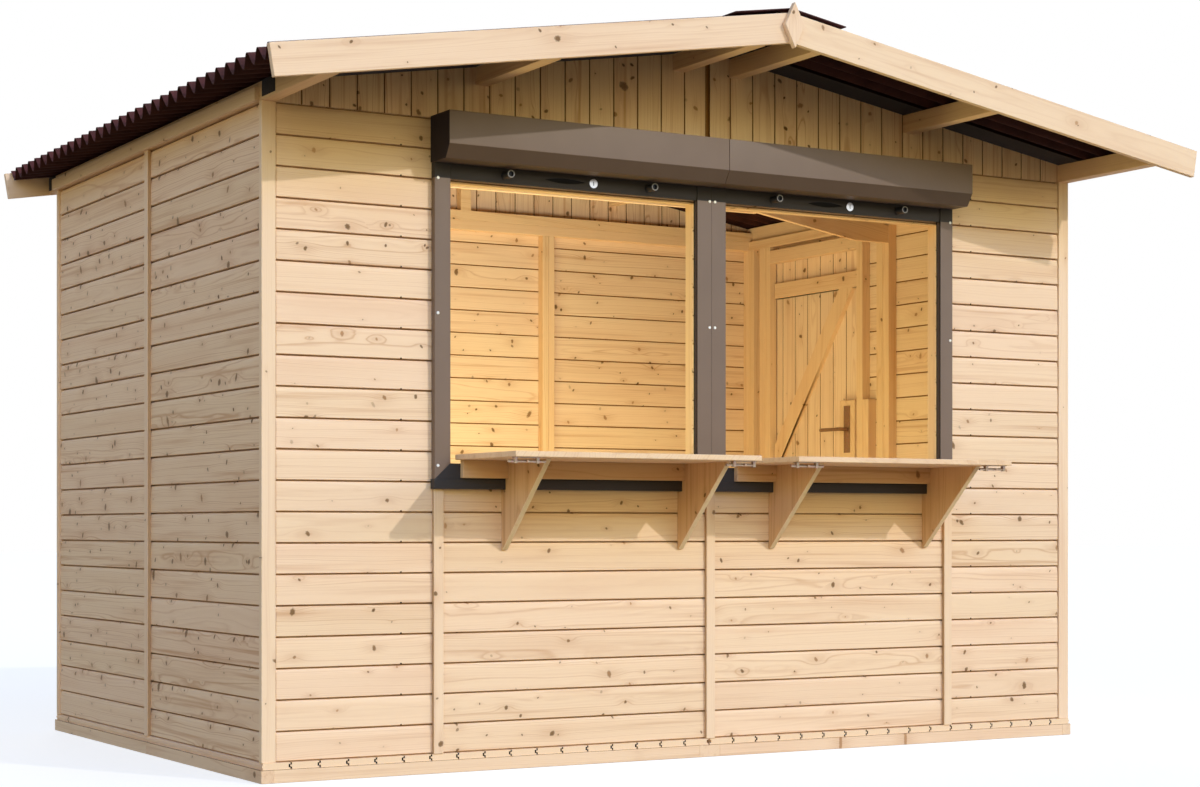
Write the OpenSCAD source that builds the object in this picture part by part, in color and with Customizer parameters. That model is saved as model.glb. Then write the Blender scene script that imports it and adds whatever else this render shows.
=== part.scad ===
// Wooden market hut: panel walls on a bearer floor, a low gable roof of corrugated sheets,
// two serving hatches with roller shutters and drop shelves, and a ledged door in the right wall.
// Millimetres. The front faces -Y, +X is to its right, the ground is z = 0.

/* [Floor] */
// Width of the floor, left to right
hut_w = 3000; // [2700:10:4000]
// Depth of the floor, front to back
hut_d = 1960; // [1880:10:3000]
// Side of the square floor bearers
bearer = 38; // [30:1:70]
// Thickness of the floor boards
deck_t = 19; // [15:1:28]
// How far the floor boards stop short of the bearers' outer faces
deck_inset = 4; // [1:1:8]
// Joint between two floor sections or two wall panels
panel_gap = 1; // [0.5:0.1:3]

/* [Walls] */
// Height of the wall boarding, from the floor to the eave
wall_h = 1863; // [1840:1:2200]
// Thickness of the boarding
board_t = 16; // [12:1:22]
// Thickness of the cover battens
trim_t = 12; // [9:1:18]
// Width of the corner boards
corner_w = 43; // [36:1:60]
// Thickness of the corner boards
corner_t = 20; // [17:1:26]
// How far the corner boards reach past the side walls' boarding
corner_out = 8; // [1:1:8]
// Width of the cover battens
batten_w = 32; // [24:1:50]
// Distance from the hatches' outer sides to the cover battens below them
batten_out = 14; // [2:1:20]
// How far the front cover battens lie to the right of their joints
batten_shift = 4.5; // [0:0.5:8]
// Side of the square studs and rails
stud = 38; // [32:1:45]
// Width of each of the paired studs in the back wall
back_stud_w = 26; // [20:1:40]
// Distance of the back wall's panel joints from the middle
back_joint_x = 474; // [300:1:700]

/* [Hatches] */
// Width of each hatch
hatch_w = 872; // [600:1:900]
// Width of the wall left between the two hatches
hatch_pier = 98; // [90:1:120]
// Height of the hatch sill above the ground
hatch_sill_z = 900; // [880:1:910]
// Height of the hatch head above the ground
hatch_head_z = 1735; // [1600:1:1740]

/* [Roof] */
// Slope of the roof in degrees
roof_pitch = 9.27; // [6:0.01:14]
// Width of a purlin
purlin_w = 45; // [35:1:60]
// Height of a purlin at its middle
purlin_h = 56; // [45:1:80]
// How far the eave purlins stay inside the floor's edge
purlin_inset = 3; // [0:0.5:8]
// Distance of the middle purlins from the ridge line
purlin_mid_x = 797.5; // [600:0.5:1000]
// Distance of the ridge purlins from the ridge line
purlin_ridge_x = 105.5; // [80:0.5:160]
// Distance from the front wall's corner boards to the front bargeboards
front_over = 427; // [200:1:600]
// Distance from the back wall's corner boards to the back bargeboards
back_over = 80; // [60:1:400]
// Thickness of the bargeboards
barge_t = 18; // [12:1:28]
// Height of the bargeboards, square to the slope
barge_h = 89; // [80:1:140]
// How far the bargeboards hang below the sheets
barge_drop = 57.6; // [40:0.1:75]
// How far the bargeboards reach past the side of the floor
barge_side = 141; // [100:1:250]
// Width of the diamond plate over each ridge joint
plate_w = 70; // [40:1:120]
// Height of the diamond plate
plate_h = 137; // [100:1:180]
// Thickness of the diamond plate
plate_t = 18; // [8:1:24]
// Height of the diamond plate's middle above the bargeboards' middle
plate_up = 5; // [0:1:20]
// Width of one wave of the roof sheets
wave_pitch = 76; // [60:0.5:130]
// Height of the waves
wave_h = 38; // [18:0.5:50]
// Thickness of the roof sheets
sheet_t = 3; // [2:0.1:5]
// How far the sheets reach past the side of the floor
sheet_side = 130; // [60:1:200]
// Reach of the ridge cap down each slope
cap_w = 203; // [120:1:300]
// Thickness of the sealing strips over the gables
seal_t = 1.5; // [0.8:0.1:3]
// Clearance under and over the sealing strips
seal_gap = 0.1; // [0.05:0.01:0.2]
// Reach of the front sealing strip outside the wall
seal_front = 96; // [40:1:150]
// Reach of the back sealing strip outside the wall
seal_back = 77; // [30:1:79]
// How far the sealing strips are turned down over the eave purlins
seal_turn = 45; // [20:1:55]
// Height of the eave boards on the side walls
eave_board_h = 39; // [25:1:55]
// Thickness of the eave boards
eave_board_t = 14; // [8:1:20]
// How far the eave boards stop short of the floor's front edge
eave_board_in = 25; // [0:1:60]

/* [Roof truss] */
// Thickness of the truss boards
truss_t = 18; // [12:1:19]
// Depth of the truss boards
truss_h = 89; // [60:1:110]
// Distance from the sheets down to the rafters
rafter_drop = 106; // [100:1:130]
// Level length at the foot of each rafter
rafter_foot = 154; // [80:1:250]
// Half length of the tie board
tie_half = 837; // [500:1:900]
// Width of the gable posts under the ridge purlins
gable_post_w = 45; // [30:1:60]

/* [Shutters] */
// Height of the top of the shutter boxes
box_top_z = 1924; // [1900:1:1930]
// Height of a shutter box
box_h = 136; // [110:1:180]
// Depth of a shutter box
box_d = 124; // [100:1:160]
// Height of the sloping face at the foot of the box
box_chamfer_h = 40; // [20:1:60]
// Depth of the sloping face at the foot of the box
box_chamfer_d = 25; // [10:1:50]
// How far the boxes reach past the guides at the sides
box_end = 3; // [0:0.5:10]
// Width of a guide rail
guide_w = 51; // [40:1:70]
// Depth of a guide rail
guide_d = 23; // [18:1:35]
// Overlap of the guides over the outer side of the hatch
guide_lap = 7; // [2:1:15]
// Overlap of the guides over the inner side of the hatch
guide_lap_in = 4; // [2:1:15]
// Depth of the groove that holds the curtain
groove = 30; // [15:1:35]
// Thickness of the curtain
curtain_t = 9; // [6:0.5:12]
// Clearance of the curtain in its groove
curtain_gap = 1.5; // [0.5:0.1:2]
// How far the groove lies in front of the guide's middle
groove_out = 2; // [0:0.5:3]
// Height of the curtain's end slat that shows below the box
slat_h = 45; // [30:1:52]
// Height of the bar under the hatch
sill_bar_h = 46; // [42:1:60]
// How far that bar stands above the hatch sill
sill_bar_up = 8; // [0:1:12]
// Height of the lip under that bar
sill_lip_h = 29; // [15:1:40]
// How much deeper than the bar the lip is
sill_lip_extra = 3; // [0.5:0.5:8]
// How far the end slat bulges towards the front
slat_bulge = 3; // [0:0.5:4]
// Length of the finger recess in the end slat
recess_w = 140; // [80:1:200]
// Height of the finger recess
recess_h = 16; // [8:1:24]
// Depth of the finger recess
recess_d = 5; // [2:0.5:7]
// Distance of the finger recess from the slat's middle
recess_x = 43; // [0:1:100]
// Radius of the lock's face
lock_r = 14; // [8:0.5:18]
// Distance of the lock from the slat's middle
lock_x = 55; // [50:1:150]
// How far the lock's face stands out of the slat
lock_out = 1; // [0.5:0.5:3]
// Distance of the stops from the slat's middle
stop_x = 250; // [150:1:380]
// Radius of a stop
stop_r = 12; // [6:0.5:18]
// Length of a stop
stop_len = 45; // [20:1:80]
// Radius of the hollow in a stop's end
stop_hollow_r = 8; // [3:0.5:10]
// Depth of that hollow
stop_hollow = 10; // [3:1:20]

/* [Shelves] */
// Length of a shelf
shelf_w = 832; // [600:1:850]
// Depth of a shelf
shelf_d = 376; // [250:1:450]
// Thickness of a shelf
shelf_t = 16; // [12:1:25]
// Height of the top of the shelves
shelf_z = 934; // [932:1:950]
// Distance of each shelf's inner end from the middle
shelf_inner = 67; // [30:1:68]
// Thickness of the bracket boards
bracket_t = 17; // [12:1:25]
// Height of the brackets
bracket_h = 265; // [180:1:350]
// Length of a bracket along the shelf's underside, from the wall
bracket_d = 280; // [200:1:330]
// Width of the blunt tip of a bracket
bracket_tip = 8; // [3:1:20]
// Place of the first bracket, from the shelf's left end
bracket_a = 165; // [60:1:300]
// Place of the second bracket, from the shelf's left end
bracket_b = 786; // [500:1:805]
// Thickness of the cleat behind each shelf
cleat_t = 20; // [12:1:30]
// Height of the cleat
cleat_h = 53; // [40:1:56]
// Length of the cleat
cleat_w = 798; // [500:1:830]
// Length of a slide bolt's plate
bolt_len = 80; // [60:1:110]
// Width of a slide bolt's plate
bolt_w = 26; // [18:1:40]
// Thickness of a slide bolt's plate
bolt_plate_t = 2; // [1:0.5:3]
// Distance of the plate from the end of its shelf
bolt_in = 8; // [2:1:30]
// Radius of a slide bolt's rod
bolt_r = 4; // [3:0.5:6]
// Distance of the rod's axis below the shelf
bolt_drop = 12; // [10:0.5:18]
// Length of the straps that hold the rod
strap_len = 9; // [5:1:15]
// Thickness of the straps
strap_t = 2; // [1:0.5:3]
// How far a rod reaches past the inner end of its plate
bolt_tail = 22; // [10:1:40]
// How far a rod that is shot reaches past the end of its shelf
bolt_out = 10; // [2:1:40]
// Distance of the slide bolts from the shelf's front edge
bolt_back = 28; // [20:1:60]

/* [Door] */
// Place of the doorway's front side, from the middle of the wall
door_y = 166; // [150:1:220]
// Distance of the doorway's rear side from the inside of the back wall
door_back = 156; // [110:1:300]
// Height of the doorway's head above the ground
door_head_z = 1813; // [1700:1:1820]
// Height of the doorway's head board
header_h = 53; // [40:1:60]
// How far the leaf laps over the doorway's front post
leaf_lap_front = 26; // [15:1:30]
// How far the leaf laps over the doorway's rear post
leaf_lap_rear = 26; // [15:1:30]
// How far the leaf laps over the head board
leaf_lap_top = 35; // [20:1:42]
// Gap all round the leaf
door_gap = 5.5; // [5:0.1:8]
// Thickness of the ledges and braces
ledge_t = 20; // [14:1:26]
// Height of a ledge
ledge_h = 64; // [50:1:100]
// Height of the bottom of the lowest ledge
ledge_low_z = 200; // [120:1:260]
// Height of the bottom of the middle ledge
ledge_mid_z = 880; // [700:1:900]
// Height of the bottom of the top ledge
ledge_top_z = 1666; // [1500:1:1680]
// Distance of the ledges' ends from the doorway's sides
ledge_end = 9; // [7:1:30]
// Width of the sloping braces
brace_w = 70; // [50:1:90]
// Place of the top ledge's end of a brace, from the ledge's front end
brace_start = 43; // [20:1:100]
// Width of the lock block
lock_w = 97; // [60:1:110]
// Height of the lock block
lock_h = 240; // [200:1:250]
// Thickness of the lock block
lock_t = 30; // [20:1:36]
// Height of the top of the lock block
lock_top_z = 1222; // [1190:1:1300]
// Distance of the lock block from the doorway's front side
lock_in = 22; // [15:1:40]
// Width of the handle plate
handle_plate_w = 40; // [30:1:50]
// Height of the handle plate
handle_plate_h = 185; // [120:1:195]
// Thickness of the handle plate
handle_plate_t = 2; // [1:0.5:4]
// Height of the lever above the ground
lever_z = 1108; // [1090:1:1130]
// Length of the lever
lever_len = 125; // [90:1:150]
// Radius of the lever
lever_r = 7; // [5:0.5:9]
// Distance of the lever from its plate
lever_out = 38; // [25:1:60]
// Height of the short stud beside the lock
strike_stud_top = 1220; // [1200:1:1300]
// Radius of the hinge knuckles
knuckle_r = 6; // [5:0.5:8]
// Radius of the hinge pins
pin_r = 3; // [2:0.1:3.5]
// Running clearance of the hinge pins
pin_fit = 0.05; // [0.02:0.01:0.1]
// Length of a hinge
hinge_len = 90; // [60:1:120]
// Width of a hinge plate
hinge_plate_w = 34; // [20:1:40]
// Thickness of a hinge plate
hinge_plate_t = 2.5; // [1.5:0.1:3.5]
// Height of the lower hinge's middle
hinge_low_z = 260; // [200:1:500]
// Height of the upper hinge's middle
hinge_high_z = 1697; // [1500:1:1740]

/* [Hidden] */
$fn = 48;
touch = 0.3;            // clearance of pieces that seat against each other at an angle
wave_steps = 10;        // flats in one wave of the roof sheets

half_w = hut_w / 2;
half_d = hut_d / 2;
deck_top = bearer + deck_t;
wall_top = deck_top + wall_h;
clad_x = half_w - trim_t;
clad_y = half_d - trim_t;
frame_x = clad_x - board_t;
frame_y = clad_y - board_t;
room_x = frame_x - stud;
room_y = frame_y - stud;
rail_low_top = deck_top + stud;
rail_high_z = wall_top - stud;
joint = panel_gap / 2;

hatch_in = hatch_pier / 2;
hatch_out = hatch_in + hatch_w;
front_batten_x = hatch_out + batten_out + batten_w / 2;
corner_x = clad_x + corner_out;     // outer face of the corner boards
board_end_x = corner_x - corner_w - panel_gap;

eave_x = half_w - purlin_inset - purlin_w / 2;
slope = tan(roof_pitch);
roof_front_y = -half_d - front_over;
roof_back_y = half_d + back_over;
plate_z = roof_z(0) - barge_drop + barge_h / cos(roof_pitch) / 2 + plate_up;

sheet_len = (half_w + sheet_side) / cos(roof_pitch);
sheet_lift = seal_t / cos(roof_pitch) + 2 * seal_gap;   // the seals lie between purlins and sheets
sheet_front_y = roof_front_y + 1;
sheet_back_y = roof_back_y - 1;

guide_front_y = -clad_y - guide_d;
guide_out = hatch_out - guide_lap + guide_w;
guide_in = joint;
guide_in_w = hatch_in + guide_lap_in - guide_in;
box_bottom_z = box_top_z - box_h;
sill_bar_z = hatch_sill_z + sill_bar_up - sill_bar_h;
sill_lip_z = sill_bar_z - sill_lip_h;
slot_y = -clad_y - guide_d / 2 - groove_out;

slat_z = box_bottom_z - slat_h;
slat_mid_z = slat_z + slat_h / 2;
slat_face_y = slot_y - curtain_t / 2;
slat_steps = 8;         // flats across the slat's curved front
arc_sides = 240;        // sides of the wide circles that the finger recess is cut from

shelf_bottom = shelf_z - shelf_t;
shelf_front_y = guide_front_y - shelf_d;
cleat_z = shelf_bottom - cleat_h;

door_rear = room_y - door_back;
leaf_front = door_y - leaf_lap_front;
leaf_rear = door_rear + leaf_lap_rear;
leaf_z = deck_top + door_gap;
leaf_top = door_head_z + leaf_lap_top;
leaf_x = clad_x - board_t;
ledge_front = door_y + ledge_end;
ledge_rear = door_rear - ledge_end;
hinge_x = clad_x + knuckle_r;
hinge_y = leaf_rear + door_gap / 2;
plate_edge = knuckle_r + 1;   // from the hinge line to the straight edge of a hinge plate
lock_y = door_y + lock_in;
lever_y = lock_y + lock_w / 2;

// Height of the sheets' underside above a point x of the hut's width
function roof_z(x) = wall_top + purlin_h + (eave_x - abs(x)) * slope;

// A block between two corners
module span(low, high) {
    translate(low) cube(high - low);
}

// A shape drawn in X and Z, given thickness from y0 to y1
module across(y0, y1) {
    translate([0, y1, 0]) rotate([90, 0, 0]) linear_extrude(y1 - y0) children();
}

// A shape drawn in Y and Z, given length from x0 to x1
module along(x0, x1) {
    translate([x0, 0, 0]) rotate([90, 0, 90]) linear_extrude(x1 - x0) children();
}

module both_sides() {
    for (m = [0, 1]) mirror([m, 0, 0]) children();
}

module front_and_back() {
    for (m = [0, 1]) mirror([0, m, 0]) children();
}

// Floor

module floor_bearers_long() {
    color("burlywood") {
        span([-bearer, -half_d, 0], [bearer, half_d, bearer]);
        both_sides() front_and_back()
            span([half_w - bearer, joint, 0], [half_w, half_d, bearer]);
    }
}

module floor_bearers_cross() {
    mid = half_d / 2;
    color("burlywood") both_sides() front_and_back() {
        span([bearer, joint, 0], [half_w - bearer, bearer, bearer]);
        span([bearer, half_d - bearer, 0], [half_w - bearer, half_d, bearer]);
        span([bearer, mid - bearer / 2, 0], [half_w - bearer, mid + bearer / 2, bearer]);
    }
}

module floor_deck() {
    color("wheat") both_sides() front_and_back()
        span([joint, joint, bearer], [half_w - deck_inset, half_d - deck_inset, deck_top]);
}

// Wall frames

module front_studs() {
    color("burlywood") both_sides() for (x = [hatch_in - stud, hatch_out, frame_x - stud])
        span([x, -frame_y, rail_low_top], [x + stud, -room_y, rail_high_z]);
}

module side_stud(y) {
    span([room_x, y, rail_low_top], [frame_x, y + stud, rail_high_z]);
}

// The rebate in the door frame that the leaf's edges lie over
module door_rebate() {
    span([frame_x - door_gap, leaf_front - door_gap, deck_top - 1],
         [frame_x + 1, leaf_rear + door_gap, leaf_top + door_gap]);
}

module side_studs() {
    color("burlywood") {
        both_sides() front_and_back() {
            side_stud(joint);
            side_stud(room_y - stud);
        }
        side_stud(door_rear + stud + joint);
        span([room_x, door_y - 2 * stud - joint, rail_low_top],
             [frame_x, door_y - stud - joint, strike_stud_top]);
        difference() {
            for (y = [door_y - stud, door_rear])
                span([room_x, y, deck_top], [frame_x, y + stud, rail_high_z]);
            door_rebate();
        }
    }
}

module back_studs() {
    color("burlywood") both_sides() {
        for (x = [back_joint_x - joint - back_stud_w, back_joint_x + joint])
            span([x, room_y, rail_low_top], [x + back_stud_w, frame_y, rail_high_z]);
        span([frame_x - stud, room_y, rail_low_top], [frame_x, frame_y, rail_high_z]);
    }
}

module front_rails() {
    color("burlywood") {
        span([-frame_x, -frame_y, deck_top], [frame_x, -room_y, rail_low_top]);
        span([-frame_x, -frame_y, rail_high_z], [frame_x, -room_y, wall_top]);
        both_sides() {
            span([hatch_in, -frame_y, hatch_sill_z - stud], [hatch_out, -room_y, hatch_sill_z]);
            span([hatch_in, -frame_y, hatch_head_z], [hatch_out, -room_y, hatch_head_z + stud]);
        }
    }
}

module side_rails() {
    color("burlywood") {
        both_sides() span([room_x, -room_y, rail_high_z], [frame_x, room_y, wall_top]);
        span([-frame_x, -room_y, deck_top], [-room_x, room_y, rail_low_top]);
        span([room_x, -room_y, deck_top], [frame_x, door_y - stud, rail_low_top]);
        span([room_x, door_rear + stud, deck_top], [frame_x, room_y, rail_low_top]);
        difference() {
            span([room_x, door_y, door_head_z], [frame_x, door_rear, door_head_z + header_h]);
            door_rebate();
        }
    }
}

module back_rails() {
    color("burlywood") {
        span([-frame_x, room_y, deck_top], [frame_x, frame_y, rail_low_top]);
        span([-frame_x, room_y, rail_high_z], [frame_x, frame_y, wall_top]);
    }
}

// Wall boarding

module front_wall_piers() {
    color("wheat") {
        span([-hatch_in, -clad_y, hatch_sill_z], [hatch_in, -frame_y, hatch_head_z]);
        both_sides() span([hatch_out, -clad_y, hatch_sill_z], [board_end_x, -frame_y, hatch_head_z]);
    }
}

module front_wall_below() {
    color("wheat") span([-board_end_x, -clad_y, deck_top], [board_end_x, -frame_y, hatch_sill_z]);
}

module front_wall_over() {
    color("wheat") span([-board_end_x, -clad_y, hatch_head_z], [board_end_x, -frame_y, wall_top]);
}

module left_wall() {
    color("wheat") span([-clad_x, -frame_y, deck_top], [-frame_x, frame_y, wall_top]);
}

module back_wall() {
    color("wheat") span([-board_end_x, frame_y, deck_top], [board_end_x, clad_y, wall_top]);
}

module right_wall_front() {
    color("wheat") span([frame_x, -frame_y, deck_top], [clad_x, leaf_front - door_gap, wall_top]);
}

module right_wall_over_door() {
    color("wheat") span([frame_x, leaf_front - door_gap, leaf_top + door_gap],
                        [clad_x, leaf_rear + door_gap, wall_top]);
}

module right_wall_back() {
    color("wheat") span([frame_x, leaf_rear + door_gap, deck_top], [clad_x, frame_y, wall_top]);
}

// Gables

// The space that a purlin needs where it passes through a gable
module purlin_notch(x) {
    translate([x - purlin_w / 2 - joint, roof_z(x) - purlin_h]) square([purlin_w + panel_gap, barge_h]);
}

module gable_half() {
    outer = eave_x - purlin_w / 2 - joint;
    difference() {
        polygon([[joint, wall_top], [outer, wall_top], [outer, roof_z(outer)], [joint, roof_z(joint)]]);
        purlin_notch(purlin_mid_x);
        purlin_notch(purlin_ridge_x);
    }
}

module front_gable() {
    color("wheat") both_sides() across(-clad_y, -frame_y) gable_half();
}

module back_gable() {
    color("wheat") both_sides() across(frame_y, clad_y) gable_half();
}

module gable_frames() {
    outer = eave_x - purlin_w / 2 - joint;
    color("burlywood") both_sides() front_and_back() {
        span([joint, room_y, wall_top], [outer, frame_y, wall_top + stud]);
        span([purlin_ridge_x - gable_post_w / 2, room_y, wall_top + stud - 1],
             [purlin_ridge_x + gable_post_w / 2, frame_y, roof_z(purlin_ridge_x) - purlin_h]);
    }
}

// Trim

module corner_boards() {
    color("moccasin") both_sides() front_and_back()
        span([corner_x - corner_w, frame_y, deck_top], [corner_x, frame_y + corner_t, wall_top]);
}

module wall_battens() {
    side = batten_w / 2;
    color("moccasin") {
        translate([batten_shift, 0, 0]) for (x = [-front_batten_x, 0, front_batten_x])
            span([x - side, -half_d, deck_top], [x + side, -clad_y, sill_lip_z]);
        both_sides() {
            span([clad_x, -side, deck_top], [half_w, side, wall_top]);
            span([back_joint_x - side, clad_y, deck_top], [back_joint_x + side, half_d, wall_top]);
        }
    }
}

module eave_boards() {
    outer = half_w - purlin_inset;
    color("moccasin") both_sides()
        span([outer, eave_board_in - half_d, wall_top],
             [outer + eave_board_t, half_d, wall_top + eave_board_h]);
}

// Roof

module purlin(x) {
    a = x - purlin_w / 2;
    b = x + purlin_w / 2;
    bottom = roof_z(x) - purlin_h;
    across(roof_front_y, roof_back_y) polygon([[a, bottom], [b, bottom], [b, roof_z(b)], [a, roof_z(a)]]);
}

module purlins() {
    color("burlywood") both_sides() for (x = [purlin_ridge_x, purlin_mid_x, eave_x]) purlin(x);
}

module rafter() {
    foot = room_x - rafter_foot;
    top = rafter_drop;
    low = rafter_drop + truss_h / cos(roof_pitch);
    across(-stud, truss_t - stud)
        polygon([[joint, roof_z(joint) - low], [foot, roof_z(foot) - low], [room_x, roof_z(foot) - low],
                 [room_x, roof_z(room_x) - top], [joint, roof_z(joint) - top]]);
}

module roof_truss() {
    tie_z = roof_z(tie_half) - rafter_drop - truss_h / cos(roof_pitch);
    color("peru") {
        both_sides() rafter();
        span([-tie_half, truss_t - stud + touch, tie_z],
             [tie_half, 2 * truss_t - stud + touch, tie_z + truss_h]);
    }
}

module purlin_block(x) {
    a = x - purlin_w / 2;
    b = x + purlin_w / 2;
    top = roof_z(x) - purlin_h;
    under = rafter_drop;
    across(-stud, 0) polygon([[a, roof_z(a) - under], [b, roof_z(b) - under], [b, top], [a, top]]);
}

module purlin_blocks() {
    color("burlywood") both_sides() for (x = [purlin_ridge_x, purlin_mid_x]) purlin_block(x);
}

// Underside of a roof sheet at y, from 0 in the valleys to the wave's height on the crests
function wave(y) = wave_h / 2 * (1 - cos(360 * (y - sheet_front_y) / wave_pitch));

module roof_sheets() {
    count = floor((sheet_back_y - sheet_front_y) / wave_pitch * wave_steps);
    ys = [for (i = [0 : count]) sheet_front_y + i * wave_pitch / wave_steps];
    low = [for (y = ys) [y, wave(y)]];
    high = [for (i = [count : -1 : 0]) [ys[i], wave(ys[i]) + sheet_t]];
    color("darkred") both_sides()
        translate([0, 0, roof_z(0) + sheet_lift]) rotate([0, roof_pitch, 0])
            along(panel_gap, sheet_len) polygon(concat(low, high));
}

module ridge_cap() {
    rise = sheet_lift + (wave_h + sheet_t) / cos(roof_pitch) + seal_gap;
    thick = sheet_t / cos(roof_pitch);
    reach = cap_w * cos(roof_pitch);
    color("maroon") across(roof_front_y - barge_t, roof_back_y + barge_t)
        polygon([[-reach, roof_z(reach) + rise], [0, roof_z(0) + rise], [reach, roof_z(reach) + rise],
                 [reach, roof_z(reach) + rise + thick], [0, roof_z(0) + rise + thick],
                 [-reach, roof_z(reach) + rise + thick]]);
}

module bargeboard() {
    end = half_w + barge_side;
    lean = barge_h * sin(roof_pitch);
    rise = barge_h * cos(roof_pitch);
    up = barge_h / cos(roof_pitch);
    polygon([[touch, roof_z(touch) - barge_drop], [end, roof_z(end) - barge_drop],
             [end + lean, roof_z(end) - barge_drop + rise], [touch, roof_z(touch) - barge_drop + up]]);
}

module bargeboards() {
    color("navajowhite") both_sides() {
        across(roof_front_y - barge_t, roof_front_y) bargeboard();
        across(roof_back_y, roof_back_y + barge_t) bargeboard();
    }
}

module gable_plates() {
    color("navajowhite") for (y = [roof_front_y - barge_t - plate_t, roof_back_y + barge_t])
        across(y, y + plate_t)
            polygon([[-plate_w / 2, plate_z], [0, plate_z - plate_h / 2],
                     [plate_w / 2, plate_z], [0, plate_z + plate_h / 2]]);
}

module roof_seal(y_out, y_wall, y_in) {
    edge = half_w - purlin_inset + seal_gap;
    thick = seal_t / cos(roof_pitch);
    function low(x) = roof_z(x) + seal_gap;
    across(min(y_out, y_in), max(y_out, y_in))
        polygon([[joint, low(joint)], [edge, low(edge)], [edge, low(edge) + thick],
                 [joint, low(joint) + thick]]);
    across(min(y_out, y_wall), max(y_out, y_wall))
        polygon([[edge, low(edge) - seal_turn], [edge + seal_t, low(edge) - seal_turn],
                 [edge + seal_t, low(edge + seal_t) + thick], [edge, low(edge) + thick]]);
}

module roof_seals() {
    color("slategray") both_sides() {
        roof_seal(-half_d - seal_front, -half_d, -frame_y);
        roof_seal(half_d + seal_back, half_d, frame_y);
    }
}

// Roller shutters

module shutter_boxes() {
    front = -clad_y - box_d;
    color("dimgray") both_sides() along(joint, guide_out + box_end)
        polygon([[-clad_y, box_bottom_z], [-clad_y, box_top_z], [front, box_top_z],
                 [front, box_bottom_z + box_chamfer_h], [front + box_chamfer_d, box_bottom_z]]);
}

// One guide rail from x to x + w, with its groove on the side towards the hatch
module guide(x, w, groove_x, mitre) {
    difference() {
        span([x, guide_front_y, sill_bar_z], [x + w, -clad_y, box_bottom_z]);
        translate([groove_x, slot_y - curtain_t / 2 - curtain_gap, sill_bar_z - 1])
            cube([groove, curtain_t + 2 * curtain_gap, box_h + box_bottom_z]);
        across(guide_front_y - 1, 1 - clad_y) polygon(mitre);
    }
}

module shutter_guides() {
    x = guide_out - guide_w;
    color("gray") both_sides() {
        guide(x, guide_w, x, [[x - touch, sill_bar_z + sill_bar_h + touch], [x - touch, sill_bar_z - 1],
                              [guide_out + 1, sill_bar_z - 1], [guide_out, sill_bar_z + touch]]);
        guide(guide_in, guide_in_w, guide_in + guide_in_w - groove,
              [[guide_in, sill_bar_z - 1], [guide_in + guide_in_w + 1, sill_bar_z - 1],
               [guide_in + guide_in_w + 1, sill_bar_z + sill_bar_h + touch],
               [guide_in, sill_bar_z + sill_bar_h + touch]]);
    }
}

// Outline of the end slat: flat at the back, curved at the front
function slat_outline(bulge) = concat(
    [[slot_y + curtain_t / 2, slat_z], [slot_y + curtain_t / 2, box_bottom_z]],
    [for (i = [slat_steps : -1 : 0])
        [slat_face_y - bulge * sin(180 * i / slat_steps), slat_z + slat_h * i / slat_steps]]);

// Lens-shaped hollow where two wide arcs cross
module finger_recess() {
    arc_r = (recess_w * recess_w + recess_h * recess_h) / (4 * recess_h);
    across(slat_face_y - slat_bulge - 1, slat_face_y - slat_bulge + recess_d) intersection() {
        translate([-recess_x, slat_mid_z + arc_r - recess_h / 2]) circle(arc_r, $fn = arc_sides);
        translate([-recess_x, slat_mid_z - arc_r + recess_h / 2]) circle(arc_r, $fn = arc_sides);
    }
}

// A round bar towards the front, from y0 to y1
module bar(x, z, y0, y1, r) {
    translate([x, y1, z]) rotate([90, 0, 0]) cylinder(h = y1 - y0, r = r);
}

// One curtain's end slat, with its recess, lock and two stops
module end_slat(middle, inner, outer) {
    stop_end = slat_face_y - stop_len;
    translate([middle, 0, 0]) difference() {
        union() {
            along(inner, outer) polygon(slat_outline(0));
            along(inner + groove, outer - groove) polygon(slat_outline(slat_bulge));
            for (x = [-stop_x, stop_x]) bar(x, slat_mid_z, stop_end, slat_face_y, stop_r);
            bar(lock_x, slat_mid_z, slat_face_y - slat_bulge - lock_out, slat_face_y, lock_r);
        }
        finger_recess();
        for (x = [-stop_x, stop_x])
            bar(x, slat_mid_z, stop_end - 1, stop_end + stop_hollow, stop_hollow_r);
    }
}

module shutter_curtains() {
    inner = guide_in + guide_in_w - groove + curtain_gap;
    outer = guide_out - guide_w + groove - curtain_gap;
    middle = (inner + outer) / 2;
    color("dimgray") for (x = [-middle, middle]) end_slat(x, inner - middle, outer - middle);
}

module shutter_sills() {
    x = guide_out - guide_w;
    color("black") both_sides() {
        across(guide_front_y, -clad_y)
            polygon([[guide_in, sill_bar_z], [guide_out, sill_bar_z],
                     [x, sill_bar_z + sill_bar_h], [guide_in, sill_bar_z + sill_bar_h]]);
        span([guide_in, guide_front_y - sill_lip_extra, sill_lip_z],
             [guide_out + box_end, -clad_y, sill_bar_z]);
    }
}

// Shelves

module shelf(x) {
    span([x, shelf_front_y, shelf_bottom], [x + shelf_w, guide_front_y, shelf_z]);
}

module shelf_left() {
    color("tan") shelf(-shelf_inner - shelf_w);
}

module shelf_right() {
    color("tan") shelf(shelf_inner);
}

module bracket(x) {
    lip_y = guide_front_y - sill_lip_extra - touch;
    cleat_y = guide_front_y - cleat_t - touch;
    tip_z = shelf_bottom - bracket_h;
    along(x, x + bracket_t)
        polygon([[-clad_y, tip_z], [-clad_y, sill_lip_z - touch], [lip_y, sill_lip_z - touch],
                 [lip_y, cleat_z - touch], [cleat_y, cleat_z - touch], [cleat_y, shelf_bottom],
                 [-clad_y - bracket_d, shelf_bottom], [-clad_y - bracket_tip, tip_z]]);
}

module shelf_brackets() {
    color("tan") for (end = [-shelf_inner - shelf_w, shelf_inner], place = [bracket_a, bracket_b])
        bracket(end + place);
}

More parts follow.
